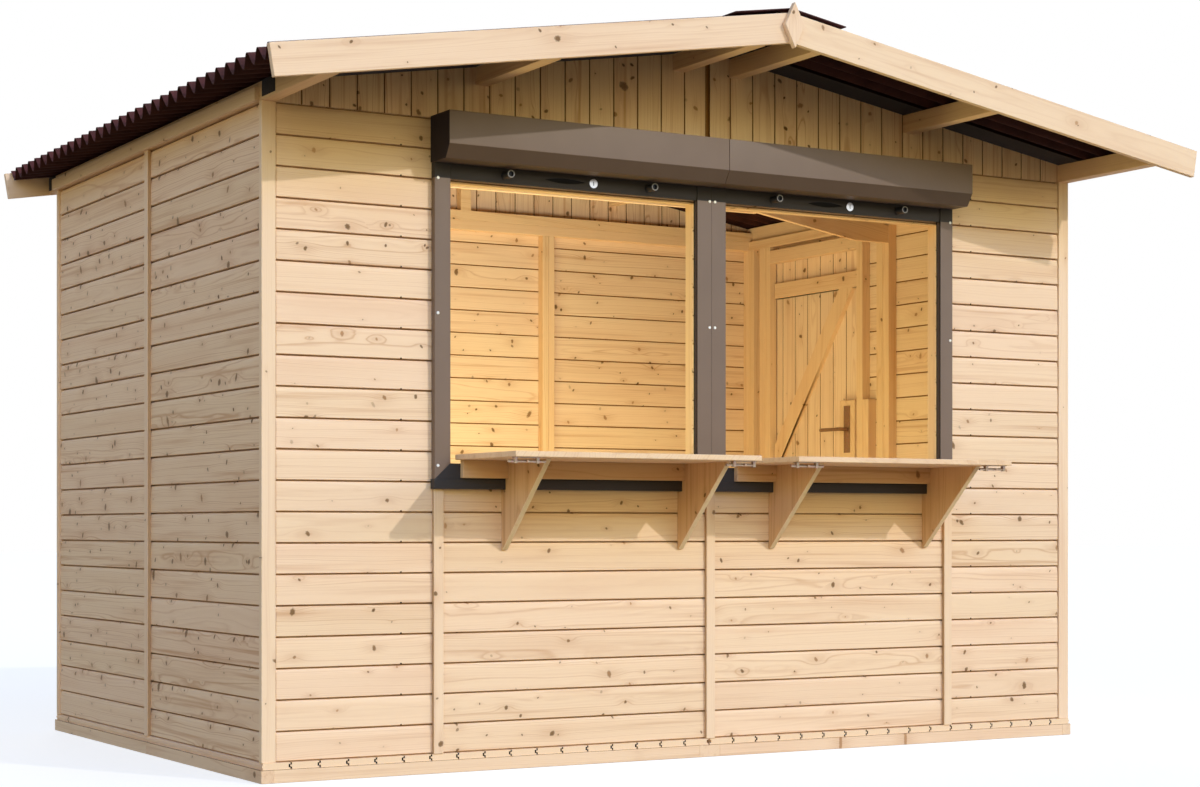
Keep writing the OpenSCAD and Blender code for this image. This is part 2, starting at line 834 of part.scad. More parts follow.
module shelf_cleats() {
    shift = (shelf_w - cleat_w) / 2;
    color("tan") for (end = [-shelf_inner - shelf_w, shelf_inner])
        span([end + shift, guide_front_y - cleat_t, cleat_z],
             [end + shift + cleat_w, guide_front_y, shelf_bottom]);
}

// A slide bolt under a shelf whose end is at x = 0: plate, rod in two straps, and a finger knob
module slide_bolt(rod_end) {
    plate_in = -bolt_in - bolt_len;
    plate = shelf_bottom - bolt_plate_t;
    rod_z = shelf_bottom - bolt_drop;
    y = shelf_front_y + bolt_back;
    strap_half = bolt_r + strap_t;
    span([plate_in, y - bolt_w / 2, plate], [-bolt_in, y + bolt_w / 2, shelf_bottom]);
    translate([plate_in - bolt_tail, y, rod_z]) rotate([0, 90, 0])
        cylinder(h = rod_end - plate_in + bolt_tail, r = bolt_r);
    for (x = [plate_in, -bolt_in - strap_len])
        span([x, y - strap_half, rod_z - strap_half], [x + strap_len, y + strap_half, shelf_bottom]);
    bar(plate_in + bolt_len / 2, rod_z, y - bolt_w / 2, y, bolt_r - 1);
}

// The bolts at the left ends are shot, those at the right ends are drawn back
module shelf_bolts() {
    color("silver") for (end = [-shelf_inner - shelf_w, shelf_inner]) {
        translate([end + shelf_w, 0, 0]) slide_bolt(-bolt_in);
        translate([end, 0, 0]) mirror([1, 0, 0]) slide_bolt(bolt_out);
    }
}

// Door

module door_leaf() {
    color("wheat") span([leaf_x, leaf_front, leaf_z], [clad_x, leaf_rear, leaf_top]);
}

// A brace from the front end of an upper ledge down to the rear end of a lower one
module brace(low_z, high_z) {
    start = ledge_front + brace_start;
    run = ledge_rear - start;
    fall = high_z - low_z;
    length = sqrt(run * run + fall * fall);
    wide = brace_w * length / fall;
    tall = brace_w * length / run;
    along(leaf_x - ledge_t, leaf_x)
        polygon([[start, high_z], [start + wide, high_z], [ledge_rear, low_z + tall],
                 [ledge_rear, low_z]]);
}

module door_brace() {
    color("navajowhite") {
        for (z = [ledge_low_z, ledge_mid_z, ledge_top_z])
            span([leaf_x - ledge_t, ledge_front, z], [leaf_x, ledge_rear, z + ledge_h]);
        brace(ledge_low_z + ledge_h, ledge_mid_z);
        brace(ledge_mid_z + ledge_h, ledge_top_z);
    }
}

module door_lock() {
    color("tan")
        span([leaf_x - lock_t, lock_y, lock_top_z - lock_h], [leaf_x, lock_y + lock_w, lock_top_z]);
}

// A lever on its plate; the plate's back is at x = 0 and the lever stands out towards +x
module lever_set() {
    span([0, -handle_plate_w / 2, -handle_plate_h / 2],
         [handle_plate_t, handle_plate_w / 2, handle_plate_h / 2]);
    rotate([0, 90, 0]) cylinder(h = lever_out + lever_r, r = lever_r);
    translate([lever_out, 0, 0]) rotate([-90, 0, 0]) cylinder(h = lever_len, r = lever_r);
}

module door_handle() {
    color("silver") {
        translate([leaf_x - lock_t, lever_y, lever_z]) mirror([1, 0, 0]) lever_set();
        translate([clad_x, lever_y, lever_z]) lever_set();
    }
}

// A stack of knuckles on the hinge line between two heights
module knuckle(z0, z1) {
    translate([hinge_x, hinge_y, z0]) cylinder(h = z1 - z0, r = knuckle_r);
}

module door_hinges() {
    third = hinge_len / 3 / 2 - touch;
    color("silver") for (z = [hinge_low_z, hinge_high_z]) difference() {
        union() {
            span([clad_x, hinge_y - hinge_plate_w, z - hinge_len / 2],
                 [clad_x + hinge_plate_t, hinge_y - plate_edge, z + hinge_len / 2]);
            span([clad_x, hinge_y - plate_edge - 1, z - third],
                 [clad_x + hinge_plate_t, hinge_y, z + third]);
            knuckle(z - third, z + third);
        }
        translate([hinge_x, hinge_y, z - hinge_len]) cylinder(h = 2 * hinge_len, r = pin_r + pin_fit);
    }
}

module hinge_plates() {
    third = hinge_len / 3 / 2;
    color("silver") for (z = [hinge_low_z, hinge_high_z]) {
        span([clad_x, hinge_y + plate_edge, z - hinge_len / 2],
             [clad_x + hinge_plate_t, hinge_y + hinge_plate_w, z + hinge_len / 2]);
        for (side = [-1, 1]) {
            a = min(side * third, side * hinge_len / 2);
            b = max(side * third, side * hinge_len / 2);
            span([clad_x, hinge_y, z + a], [clad_x + hinge_plate_t, hinge_y + plate_edge + 1, z + b]);
            knuckle(z + a, z + b);
        }
        translate([hinge_x, hinge_y, z - hinge_len / 2]) cylinder(h = hinge_len, r = pin_r);
    }
}

floor_bearers_long();
floor_bearers_cross();
floor_deck();
front_studs();
side_studs();
back_studs();
front_rails();
side_rails();
back_rails();
front_wall_piers();
front_wall_below();
front_wall_over();
left_wall();
back_wall();
right_wall_front();
right_wall_over_door();
right_wall_back();
front_gable();
back_gable();
gable_frames();
corner_boards();
wall_battens();
eave_boards();
purlins();
roof_truss();
purlin_blocks();
roof_sheets();
ridge_cap();
bargeboards();
gable_plates();
roof_seals();
shutter_boxes();
shutter_guides();
shutter_curtains();
shutter_sills();
shelf_left();
shelf_right();
shelf_brackets();
shelf_cleats();
shelf_bolts();
door_leaf();
door_brace();
door_lock();
door_handle();
door_hinges();
hinge_plates();
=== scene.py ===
import math
import random

import bmesh
import bpy
from mathutils import Matrix, Vector


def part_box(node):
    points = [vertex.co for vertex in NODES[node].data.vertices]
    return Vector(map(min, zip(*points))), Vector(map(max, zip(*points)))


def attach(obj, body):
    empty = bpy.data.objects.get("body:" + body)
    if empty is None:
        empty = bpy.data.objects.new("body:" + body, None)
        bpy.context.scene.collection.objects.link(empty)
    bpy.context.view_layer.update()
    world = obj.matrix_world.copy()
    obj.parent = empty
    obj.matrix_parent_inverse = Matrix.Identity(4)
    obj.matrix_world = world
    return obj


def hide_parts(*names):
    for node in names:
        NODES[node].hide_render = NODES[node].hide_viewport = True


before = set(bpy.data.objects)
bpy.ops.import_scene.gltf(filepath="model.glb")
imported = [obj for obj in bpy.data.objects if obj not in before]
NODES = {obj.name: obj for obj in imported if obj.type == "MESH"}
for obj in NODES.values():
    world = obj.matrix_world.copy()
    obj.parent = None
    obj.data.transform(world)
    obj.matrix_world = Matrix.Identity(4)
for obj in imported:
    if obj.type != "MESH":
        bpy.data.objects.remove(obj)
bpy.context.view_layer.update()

MM = 0.001
X = Vector((1, 0, 0))
Y = Vector((0, 1, 0))
Z = Vector((0, 0, 1))
rng = random.Random(11)

# Parts of a face's unit normal that pick the faces turned some way
SLIGHTLY = 0.1
PARTLY = 0.3
MOSTLY = 0.5
SQUARELY = 0.8


# Materials

def srgb(red, green, blue):
    """An RGBA colour from the 0 to 255 values that a screen shows."""
    def linear(value):
        v = value / 255
        return v / 12.92 if v <= 0.04045 else ((v + 0.055) / 1.055) ** 2.4
    return (linear(red), linear(green), linear(blue), 1.0)


def shaded(colour, factor):
    """A colour made darker or lighter by a factor."""
    return tuple(min(1, c * factor) for c in colour[:3]) + (1.0,)


class Graph:
    """The nodes of a material or of the surroundings. Most methods add a node and give back its output."""

    def __init__(self, owner):
        owner.use_nodes = True
        self.owner = owner
        self.tree = owner.node_tree
        self.shader = self.tree.nodes.get("Principled BSDF")

    def put(self, value, socket):
        if isinstance(value, bpy.types.NodeSocket):
            self.tree.links.new(value, socket)
        else:
            socket.default_value = value

    def make(self, kind, settings=None, **inputs):
        """A node with settings, and with inputs by their names."""
        made = self.tree.nodes.new("ShaderNode" + kind)
        for key, value in (settings or {}).items():
            setattr(made, key, value)
        for key, value in inputs.items():
            self.put(value, made.inputs[key.replace("_", " ")])
        return made

    def make_of(self, kind, values, settings=None):
        """A node with settings, and with values for its first inputs in their order."""
        made = self.make(kind, settings)
        for value, socket in zip(values, made.inputs):
            self.put(value, socket)
        return made

    def node(self, kind, out=0, settings=None, **inputs):
        return self.make(kind, settings, **inputs).outputs[out]

    def math(self, operation, a, b=0.0, c=0.0):
        return self.make_of("Math", (a, b, c), {"operation": operation}).outputs[0]

    def add(self, a, b):
        return self.math("ADD", a, b)

    def times(self, a, b):
        return self.math("MULTIPLY", a, b)

    def line(self, value, slope, start):
        """start + value * slope"""
        return self.math("MULTIPLY_ADD", value, slope, start)

    def clamp(self, value, low=0.0, high=1.0):
        return self.node("Clamp", Value=value, Min=low, Max=high)

    def vector(self, operation, a, b=(0, 0, 0)):
        made = self.make_of("VectorMath", (a, b), {"operation": operation})
        return made.outputs["Value" if operation in ("LENGTH", "DOT_PRODUCT") else "Vector"]

    def attribute(self, name, out="Vector"):
        return self.node("Attribute", out, {"attribute_name": name})

    def place(self):
        """The point on the piece, in metres."""
        return self.node("TexCoord", "Object")

    def split(self, vector):
        return tuple(self.make_of("SeparateXYZ", (vector,)).outputs)

    def noise(self, vector, stretch, detail=2.0, rough=0.5):
        place = self.vector("MULTIPLY", vector, stretch)
        return self.node("TexNoise", "Fac", Vector=place, Scale=1.0, Detail=detail, Roughness=rough)

    def ramp(self, value, low, high, to_low=0.0, to_high=1.0):
        return self.node("MapRange", 0, {"interpolation_type": "SMOOTHSTEP"}, Value=value, From_Min=low,
                         From_Max=high, To_Min=to_low, To_Max=to_high)

    def mix(self, factor, a, b, blend="MIX"):
        made = self.make_of("Mix", (factor,), {"data_type": "RGBA", "blend_type": blend})
        for value, socket in ((a, made.inputs[6]), (b, made.inputs[7])):  # the node's colours
            self.put(value, socket)
        return made.outputs[2]

    def tinted(self, colour, tint):
        return self.mix(1.0, colour, tint, "MULTIPLY")

    def either(self, choice, first, second):
        """The first shader where the choice is 0, the second where it is 1."""
        return self.make_of("MixShader", (choice, first, second)).outputs[0]

    def bump(self, height, strength, distance):
        normal = self.node("Bump", "Normal", Height=height, Strength=strength, Distance=distance)
        self.put(normal, self.shader.inputs["Normal"])

    def finish(self, colour, roughness, metallic=0.0, specular=0.5):
        self.put(colour, self.shader.inputs["Base Color"])
        self.put(roughness, self.shader.inputs["Roughness"])
        self.shader.inputs["Metallic"].default_value = metallic
        self.shader.inputs["Specular IOR Level"].default_value = specular
        return self.owner


def new_material(name):
    return Graph(bpy.data.materials.new(name))


# Wood
KNOT_ROOM = (0.24, 0.1)  # metres along and across the trunk that hold one large knot at most
KNOT_RADII = (4 * MM, 9 * MM)
PIN_ROOM = (0.15, 0.052)  # the same for small knots
PIN_RADII = (2 * MM, 5.2 * MM)
YEAR = 4.2 * MM  # width of a year ring
KNOT = srgb(118, 86, 50)
KNOT_RIM = (0.6, 0.52, 0.45, 1.0)
PIN_DARK = (0.76, 0.7, 0.58, 1.0)
BRUISE = (0.86, 0.78, 0.7, 1.0)
PINKISH = (0.945, 0.9, 0.875, 1.0)
# How far a board's own brightness and warmth move its red, green and blue
BOARD_TINT = (("X", 0.02, 0.006), ("Y", 0.024, -0.003), ("Z", 0.03, 0.014))
# Painted shade in the boards' joints: the tint that darkens their joint faces, and how much of it shows
# outside
JOINT_SHADE = (0.32, 0.2, 0.06, 1.0)
OUTER_SHADE = 0.66  # how dark the joints are outside, as a share of those inside


def another(g, value, factor):
    """A second random value from 0 to 1, drawn from a first one."""
    return g.math("FRACT", g.times(value, factor))


def knots(g, grain, room, radii, share, more, grow):
    """Knots on a board's face, one at most in each cell as large as room. Gives how far a point lies from
    its knot in knot radii, whether there is a knot, its own random shade, and how near it the grain is
    pushed aside."""
    least_squeeze, more_squeeze = 0.62, 0.6
    raggedness = 0.7  # of the outline, as a share of the radius
    push_reach, push_along = 2.2, 0.4
    along, across, _ = g.split(grain)
    place = g.node("CombineXYZ", X=g.math("DIVIDE", along, room[0]), Y=g.math("DIVIDE", across, room[1]))
    cells = g.make("TexVoronoi", {"voronoi_dimensions": "2D"}, Scale=1.0, Vector=place)
    size, shade, there = g.split(cells.outputs["Color"])
    offset = g.vector("MULTIPLY", g.vector("SUBTRACT", place, cells.outputs["Position"]), room + (1.0,))
    dx, dy, _ = g.split(offset)
    lean = g.math("SUBTRACT", another(g, there, 23.0), 0.5)
    squeeze = g.add(least_squeeze, g.times(another(g, shade, 17.0), more_squeeze))
    oval = g.node("CombineXYZ", X=g.add(dx, g.times(dy, lean)), Y=g.times(dy, squeeze))
    smallest, largest = radii
    radius = g.add(smallest, g.times(g.math("POWER", size, 2.0), largest - smallest))
    radius = g.times(radius, grow)
    wobble = g.math("SUBTRACT", g.noise(grain, (160, 160, 160), 1.0), 0.5)
    ragged = g.times(wobble, g.times(radius, raggedness))
    reach = g.math("DIVIDE", g.add(g.vector("LENGTH", oval), ragged), radius)
    is_knot = g.math("LESS_THAN", there, g.times(share, more))
    stretched = g.vector("LENGTH", g.vector("MULTIPLY", offset, (push_along, 1, 0)))
    near = g.math("DIVIDE", stretched, g.times(radius, push_reach))
    push = g.math("EXPONENT", g.times(g.math("POWER", near, 2.0), -1.0))
    return reach, is_knot, shade, g.times(push, is_knot)


def year_rings(g, grain, push, pin_push, lively):
    """How dark the year is that a point lies in: rings round the pith that waver, give way to the knots,
    and are darker in groups of years."""
    _, across, deep = g.split(grain)
    slow = g.math("SUBTRACT", g.noise(grain, (0.9, 8, 8)), 0.5)
    quick = g.math("SUBTRACT", g.noise(grain, (5, 45, 45)), 0.5)
    years = g.vector("LENGTH", g.node("CombineXYZ", Y=across, Z=deep))
    for wave, reach in ((slow, 44 * MM), (quick, 4 * MM), (push, 8 * MM), (pin_push, 3 * MM)):
        years = g.add(years, g.times(wave, reach))
    turn = g.math("SINE", g.times(years, 2 * math.pi / YEAR))
    band = g.math("POWER", g.add(g.times(turn, 0.5), 0.5), 1.6)
    groups = g.node("TexNoise", "Fac", {"noise_dimensions": "1D"}, W=g.times(years, 62.0), Detail=2.0)
    dark_years = g.ramp(groups, 0.44, 0.7, 0.12, 1.0)
    vivid = g.clamp(g.line(lively, 0.3, 0.8), high=1.3)
    return g.times(g.times(band, dark_years), vivid)


def wood(name, pale, late, rings=0.55, share=0.35, small_share=0.25, saw=0.0):
    """Softwood cut from a trunk: year rings round the pith, knots that the grain bends around, and fine
    fibres. The grain attribute holds metres along the board and from the pith, the tone attribute each
    board's own tint."""
    g = new_material(name)
    pale, late = srgb(*pale), srgb(*late)
    grain = g.attribute("grain")
    bright, warm, lively = g.split(g.attribute("tone"))
    more = g.line(lively, 0.3, 1.0)
    grow = g.clamp(g.line(lively, 0.28, 1.0), 0.85, 1.5)
    reach, is_knot, shade, push = knots(g, grain, KNOT_ROOM, KNOT_RADII, share, more, grow)
    pin_reach, is_pin, pin_shade, pin_push = knots(g, grain, PIN_ROOM, PIN_RADII, small_share, more, grow)
    streak = g.ramp(g.noise(grain, (1.4, 60, 60), 3.0), 0.5, 0.78)
    patch = g.noise(grain, (1.3, 11, 11))
    fibre = g.noise(grain, (24, 850, 850), 3.0, 0.6)

    # The clear wood, from its years to its fibres
    colour = g.mix(g.times(year_rings(g, grain, push, pin_push, lively), rings), pale, late)
    colour = g.mix(g.times(streak, g.clamp(g.line(lively, 0.24, 0.46))), colour, late)
    colour = g.mix(g.ramp(patch, 0.46, 0.72, 0.0, 0.8), colour, g.tinted(colour, PINKISH))
    colour = g.mix(g.ramp(fibre, 0.45, 0.8, 0.0, 0.14), colour, late)

    # Large knots with their bruised surroundings, core and rim
    bruise = g.tinted(late, BRUISE)
    pushed = g.add(push, g.times(pin_push, 0.5))
    colour = g.mix(g.times(pushed, 0.3), colour, bruise)
    darker = g.line(lively, 0.25, g.ramp(shade, 0.0, 0.7))
    core = g.times(g.ramp(reach, 0.5, 1.1, 1.0, 0.0), is_knot)
    colour = g.mix(g.times(core, 0.92), colour, g.mix(g.clamp(darker), bruise, KNOT))
    rim = g.times(g.ramp(reach, 0.55, 0.8), g.ramp(reach, 0.85, 1.15, 1.0, 0.0))
    rim = g.times(g.times(rim, is_knot), g.ramp(shade, 0.45, 0.9))
    colour = g.mix(g.times(rim, 0.5), colour, g.tinted(KNOT, KNOT_RIM))

    # Small knots
    pin = g.times(g.ramp(pin_reach, 0.55, 1.15, 1.0, 0.0), is_pin)
    pin = g.times(pin, g.ramp(pin_shade, 0.0, 0.7, 0.35, 1.0))
    pin = g.times(pin, g.clamp(g.line(lively, 0.2, 0.75)))
    colour = g.mix(pin, colour, g.tinted(KNOT, PIN_DARK))

    # The board's own tint, and painted shade in its joints
    moved = {}
    for channel, by_bright, by_warm in BOARD_TINT:
        moved[channel] = g.add(1.0, g.add(g.times(bright, by_bright), g.times(warm, by_warm)))
    colour = g.tinted(colour, g.node("CombineXYZ", **moved))
    colour = g.mix(g.attribute("joint", "Fac"), colour, g.tinted(colour, JOINT_SHADE))

    height = g.times(fibre, 0.6)
    if saw:
        marks = g.noise(grain, (260, 14, 14))
        height = g.add(height, g.times(marks, saw))
    g.bump(height, 0.5, 0.4 * MM)
    return g.finish(colour, g.add(0.56, g.times(fibre, 0.16)), specular=0.25)


def paint(name, colour, roughness, specular):
    """Powder coat on sheet metal: an even colour with a fine texture and slight cloudiness."""
    g = new_material(name)
    colour = srgb(*colour)
    cloud = g.noise(g.place(), (9, 9, 9), 3.0)
    speck = g.noise(g.place(), (1400, 1400, 1400))
    coat = g.mix(g.ramp(cloud, 0.3, 0.7, 0.0, 0.35), colour, shaded(colour, 0.86))
    coat = g.mix(g.ramp(speck, 0.5, 0.75, 0.0, 0.18), coat, shaded(colour, 1.35))
    g.bump(speck, 0.25, 0.12 * MM)
    return g.finish(coat, g.add(roughness, g.times(cloud, 0.12)), specular=specular)


def zinc(name, colour, roughness):
    """Bright zinc plate with a faint spangle and brushed marks."""
    g = new_material(name)
    spangle = g.node("TexVoronoi", "Color", Vector=g.place(), Scale=420.0)
    brushed = g.noise(g.place(), (60, 60, 2400))
    g.bump(brushed, 0.2, 0.05 * MM)
    rough = g.add(roughness, g.times(brushed, 0.2))
    return g.finish(g.mix(0.1, srgb(*colour), spangle), rough, metallic=1.0)


def sheet(name, dark, darker, flecks, specular):
    """Dark red corrugated fibre sheet: a mottled granular surface with flecks."""
    g = new_material(name)
    mottle = g.noise(g.place(), (14, 14, 14), 4.0)
    fleck = g.noise(g.place(), (480, 480, 480), 3.0, 0.65)
    colour = g.mix(g.ramp(mottle, 0.3, 0.75), srgb(*dark), srgb(*darker))
    colour = g.mix(g.ramp(fleck, 0.52, 0.78, 0.0, 0.5), colour, srgb(*flecks))
    g.bump(fleck, 0.6, 0.5 * MM)
    return g.finish(colour, g.add(0.62, g.times(mottle, 0.2)), specular=specular)


def felt(name, dark, pale):
    """Grey felt strip: fine matted fibres."""
    g = new_material(name)
    fibres = g.noise(g.place(), (900, 500, 900), 4.0, 0.7)
    g.bump(fibres, 0.8, 0.4 * MM)
    return g.finish(g.mix(g.ramp(fibres, 0.35, 0.7), srgb(*dark), srgb(*pale)), 0.95, specular=0.1)


def plain(name, colour, roughness, specular=0.5, metallic=0.0):
    """One colour with a slight unevenness, for rubber, plastic, chrome, painted shade and end grain."""
    g = new_material(name)
    colour = srgb(*colour)
    fine = g.noise(g.place(), (300, 300, 300))
    uneven = g.mix(g.ramp(fine, 0.3, 0.7, 0.0, 0.25), colour, shaded(colour, 0.8))
    g.bump(fine, 0.15, 0.1 * MM)
    return g.finish(uneven, roughness, metallic, specular)


WALL = wood("wall_wood", (243, 214, 183), (206, 162, 124), share=0.62, small_share=0.36, rings=0.65)
TRIM = wood("trim_wood", (242, 214, 184), (216, 176, 142), share=0.45, small_share=0.26, rings=0.45)
FRAME = wood("frame_wood", (238, 204, 164), (202, 152, 106), share=0.4, saw=0.35)
FLOOR = wood("floor_wood", (240, 211, 181), (206, 164, 126), share=0.5)
SHELF = wood("shelf_wood", (241, 210, 175), (206, 160, 118))
# Painted shade: the shelf wood made darker and warmer for the brackets and cleats, which stand in shade
BRACKET = wood("bracket_wood", (233, 198, 156), (194, 144, 100))
# Painted light: a paler copy of the bracket wood for the brackets' sloping front faces
SLOPE_LIGHT = wood("slope_light", (255, 238, 214), (238, 208, 172), share=0.2, small_share=0.2, rings=0.3)
# Painted shade: a darker copy of the trim wood for the battens' side faces
SIDE_SHADE = wood("batten_side_shade", (196, 164, 128), (160, 120, 84), share=0.3, small_share=0.2, rings=0.4)
SHUTTER = paint("shutter_metal", (121, 102, 89), 0.38, specular=0.4)
# Painted shade: a darker copy of the shutter paint for the boxes' undersides
UNDERSIDE_SHADE = paint("shaded_metal", (92, 75, 62), 0.45, specular=0.15)
# Dark paint of the end slats and sills, partly painted shade from the boxes above the slats; on the guides'
# tops it is the boxes' painted shadow
CURTAIN = paint("curtain_metal", (66, 62, 62), 0.45, specular=0.14)
END_CAP = paint("end_cap", (46, 40, 43), 0.5, specular=0.1)
ZINC = zinc("zinc", (172, 146, 122), 0.4)
SHEET = sheet("roof_sheet", (78, 32, 33), (50, 20, 22), (122, 70, 68), specular=0.3)
SHEET_UNDER = sheet("roof_sheet_under", (62, 35, 31), (46, 25, 22), (84, 52, 46), specular=0.05)
FELT = felt("seal_strip", (46, 42, 42), (76, 70, 69))
RUBBER = plain("black_rubber", (24, 24, 25), 0.5)
CAP_WHITE = plain("screw_cap", (248, 248, 246), 0.35)
RIM = plain("stop_rim", (112, 108, 104), 0.4)
LOCK_CHROME = plain("lock_chrome", (242, 242, 240), 0.28, metallic=1.0)
# Painted shade in the end slats' recesses
RECESS_SHADE = paint("slat_recess_shade", (30, 28, 28), 0.6, specular=0.1)
# Near black: painted shade behind the floor boards' ends and in the locks' key slots, and the nail heads'
# own colour
DARK_SLOT = plain("dark_slot", (14, 12, 11), 0.9, 0.05)
# Painted shade for the bearers' upward sloping arrises, a dark line under the floor boards
ARRIS_SHADE = plain("painted_shade", (138, 106, 72), 0.9, 0.1)
DECK_END = plain("deck_end_grain", (242, 213, 180), 0.7, 0.2)


# Pieces

SMOOTH_ANGLE = 35  # degrees at which an edge looks sharp
SHARP_EDGE = 30  # degrees at which an edge is eased
ARRIS = 1.2 * MM  # small chamfer along planed edges
PITH_ASIDE = 0.09  # metres at most from a board sideways to the trunk's middle
PITH_DEEP = (0.03, 0.13)  # and least and most behind it
TRUNK = 40  # metres of trunk that boards are cut from
NEAR_END = 0.2  # shares of a timber's length in which its corners belong to an end
OTHER_END = 0.25
LEVEL_WITHIN = 3  # degrees that a straight timber may lean


def in_scene(name, data):
    """A new object in the scene."""
    made = bpy.data.objects.new(name, data)
    bpy.context.scene.collection.objects.link(made)
    return made


def mesh_of(name, bm):
    """A mesh made of a bmesh, which is freed."""
    mesh = bpy.data.meshes.new(name)
    bm.to_mesh(mesh)
    bm.free()
    return mesh


def link(name, mesh, body, material, replaces=(), smooth=SMOOTH_ANGLE):
    """Puts a mesh in the scene as a piece of the object."""
    piece = in_scene(name, mesh)
    mesh.materials.append(material)
    mesh.shade_smooth()
    mesh.set_sharp_from_angle(angle=math.radians(smooth))
    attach(piece, body)
    if replaces:
        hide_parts(*replaces)
    return piece


def new_tone(spread):
    """One board's own brightness, warmth and strength of grain, each about -1 to 1."""
    return Vector([rng.uniform(-1, 1) * spread for _ in range(3)])


def new_pith():
    """Where the trunk's middle lay from the board, and where along the trunk the board was cut."""
    side = rng.choice((-1, 1)) * rng.uniform(0.0, PITH_ASIDE)
    return Vector((rng.uniform(0, TRUNK), side, rng.uniform(*PITH_DEEP)))


class Timber:
    """Boards gathered into one piece, each with its own grain and tone."""

    def __init__(self):
        self.points, self.faces, self.grain, self.tone, self.joint = [], [], [], [], []

    def add(self, bm, origin, along, across, spread=1.0, joint=(), knotty=0.0):
        """Takes a board's mesh; its grain runs along, and across is its wide way. joint holds spans of depth
        below the board's face, and how dark the painted shade is on a side face that has its middle there.
        knotty gives a board more knots and livelier grain."""
        deep = along.cross(across)
        pith, tone = new_pith(), new_tone(spread) + Z * knotty
        first = len(self.points)
        bm.verts.index_update()
        bm.normal_update()
        for v in bm.verts:
            p = v.co - origin
            self.points.append(v.co.copy())
            self.grain.append(Vector((p.dot(along), p.dot(across), p.dot(deep))) + pith)
            self.tone.append(tone)
        for f in bm.faces:
            depth = abs((f.calc_center_median() - origin).dot(deep))
            shades = [shade for near, far, shade in joint if near < depth < far]
            at_side = abs(f.normal.dot(along)) < MOSTLY
            self.joint.append(max(shades, default=0.0) if at_side else 0.0)
            self.faces.append([first + v.index for v in f.verts])
        bm.free()

    def piece(self, name, body, slot, material, node):
        mesh = bpy.data.meshes.new(name)
        mesh.from_pydata(self.points, [], self.faces)
        for key, values in (("grain", self.grain), ("tone", self.tone)):
            layer = mesh.attributes.new(key, "FLOAT_VECTOR", "POINT")
            layer.data.foreach_set("vector", [c for v in values for c in v])
        # The joint attribute carries each face's painted shade in a joint
        mesh.attributes.new("joint", "FLOAT", "FACE").data.foreach_set("value", self.joint)
        return link(name, mesh, body, material, (node,))


def bridge(bm, first, second):
    """Faces between two rings of points."""
    count = len(first)
    for i in range(count):
        j = (i + 1) % count
        bm.faces.new((first[i], first[j], second[j], second[i]))


def face_outwards(bm):
    bmesh.ops.recalc_face_normals(bm, faces=bm.faces)


def swept(profile, origin, along, across, deep, length):
    """A closed profile of (across, deep) points swept along a straight length."""
    bm = bmesh.new()
    near = [bm.verts.new(origin + across * u + deep * v) for u, v in profile]
    far = [bm.verts.new(p.co + along * length) for p in near]
    bridge(bm, near, far)
    bm.faces.new(list(reversed(near)))
    bm.faces.new(far)
    face_outwards(bm)
    return bm


def everything(bm):
    return bm.verts[:] + bm.edges[:] + bm.faces[:]


def cut(bm, point, away):
    """Cuts off what lies beyond a plane and closes the cut."""
    made = bmesh.ops.bisect_plane(bm, geom=everything(bm), plane_co=point, plane_no=away, clear_outer=True)
    edges = [e for e in made["geom_cut"] if isinstance(e, bmesh.types.BMEdge)]
    if edges:
        bmesh.ops.holes_fill(bm, edges=edges, sides=0)
        face_outwards(bm)


def box_mesh(bm, low, high):
    """Adds a block between two corners."""
    made = bmesh.ops.create_cube(bm, size=1.0)
    bmesh.ops.scale(bm, vec=high - low, verts=made["verts"])
    bmesh.ops.translate(bm, vec=(low + high) / 2, verts=made["verts"])


def subtract(bm, tool):
    """Cuts one mesh out of another."""
    objects = []
    for part in (bm, tool):
        mesh = bpy.data.meshes.new("cutting")
        part.to_mesh(mesh)
        objects.append(in_scene("cutting", mesh))
    change = objects[0].modifiers.new("cut", "BOOLEAN")
    change.object = objects[1]
    change.operation = "DIFFERENCE"
    change.solver = "EXACT"
    graph = bpy.context.evaluated_depsgraph_get()
    result = bpy.data.meshes.new_from_object(objects[0].evaluated_get(graph))
    bm.clear()
    bm.from_mesh(result)
    tool.free()
    bpy.data.meshes.remove(result)
    for o in objects:
        mesh = o.data
        bpy.data.objects.remove(o)
        bpy.data.meshes.remove(mesh)


def islands(bm):
    """The separate solids in a mesh, as lists of its vertices."""
    seen, found = set(), []
    for start in bm.verts:
        if start in seen:
            continue
        group, stack = [], [start]
        seen.add(start)
        while stack:
            v = stack.pop()
            group.append(v)
            for e in v.link_edges:
                w = e.other_vert(v)
                if w not in seen:
                    seen.add(w)
                    stack.append(w)
        found.append(group)
    return found


def solid_copy(node):
    """A CAD node's mesh with its flat faces whole again."""
    bm = bmesh.new()
    bm.from_mesh(NODES[node].data)
    bmesh.ops.remove_doubles(bm, verts=bm.verts, dist=1e-6)
    bmesh.ops.dissolve_limit(bm, angle_limit=math.radians(0.5), verts=bm.verts, edges=bm.edges)
    return bm


def ease(bm, width, segments=1, from_x=0.0):
    """Takes the sharp arrises off a mesh, apart from those nearer than from_x to the middle of the hut."""
    edges = [e for e in bm.edges
             if len(e.link_faces) == 2 and e.calc_face_angle(0) > math.radians(SHARP_EDGE)
             and max(abs(v.co.x) for v in e.verts) >= from_x]
    bmesh.ops.bevel(bm, geom=edges, offset=width, segments=segments, profile=0.6, affect="EDGES",
                    clamp_overlap=True, harden_normals=False)


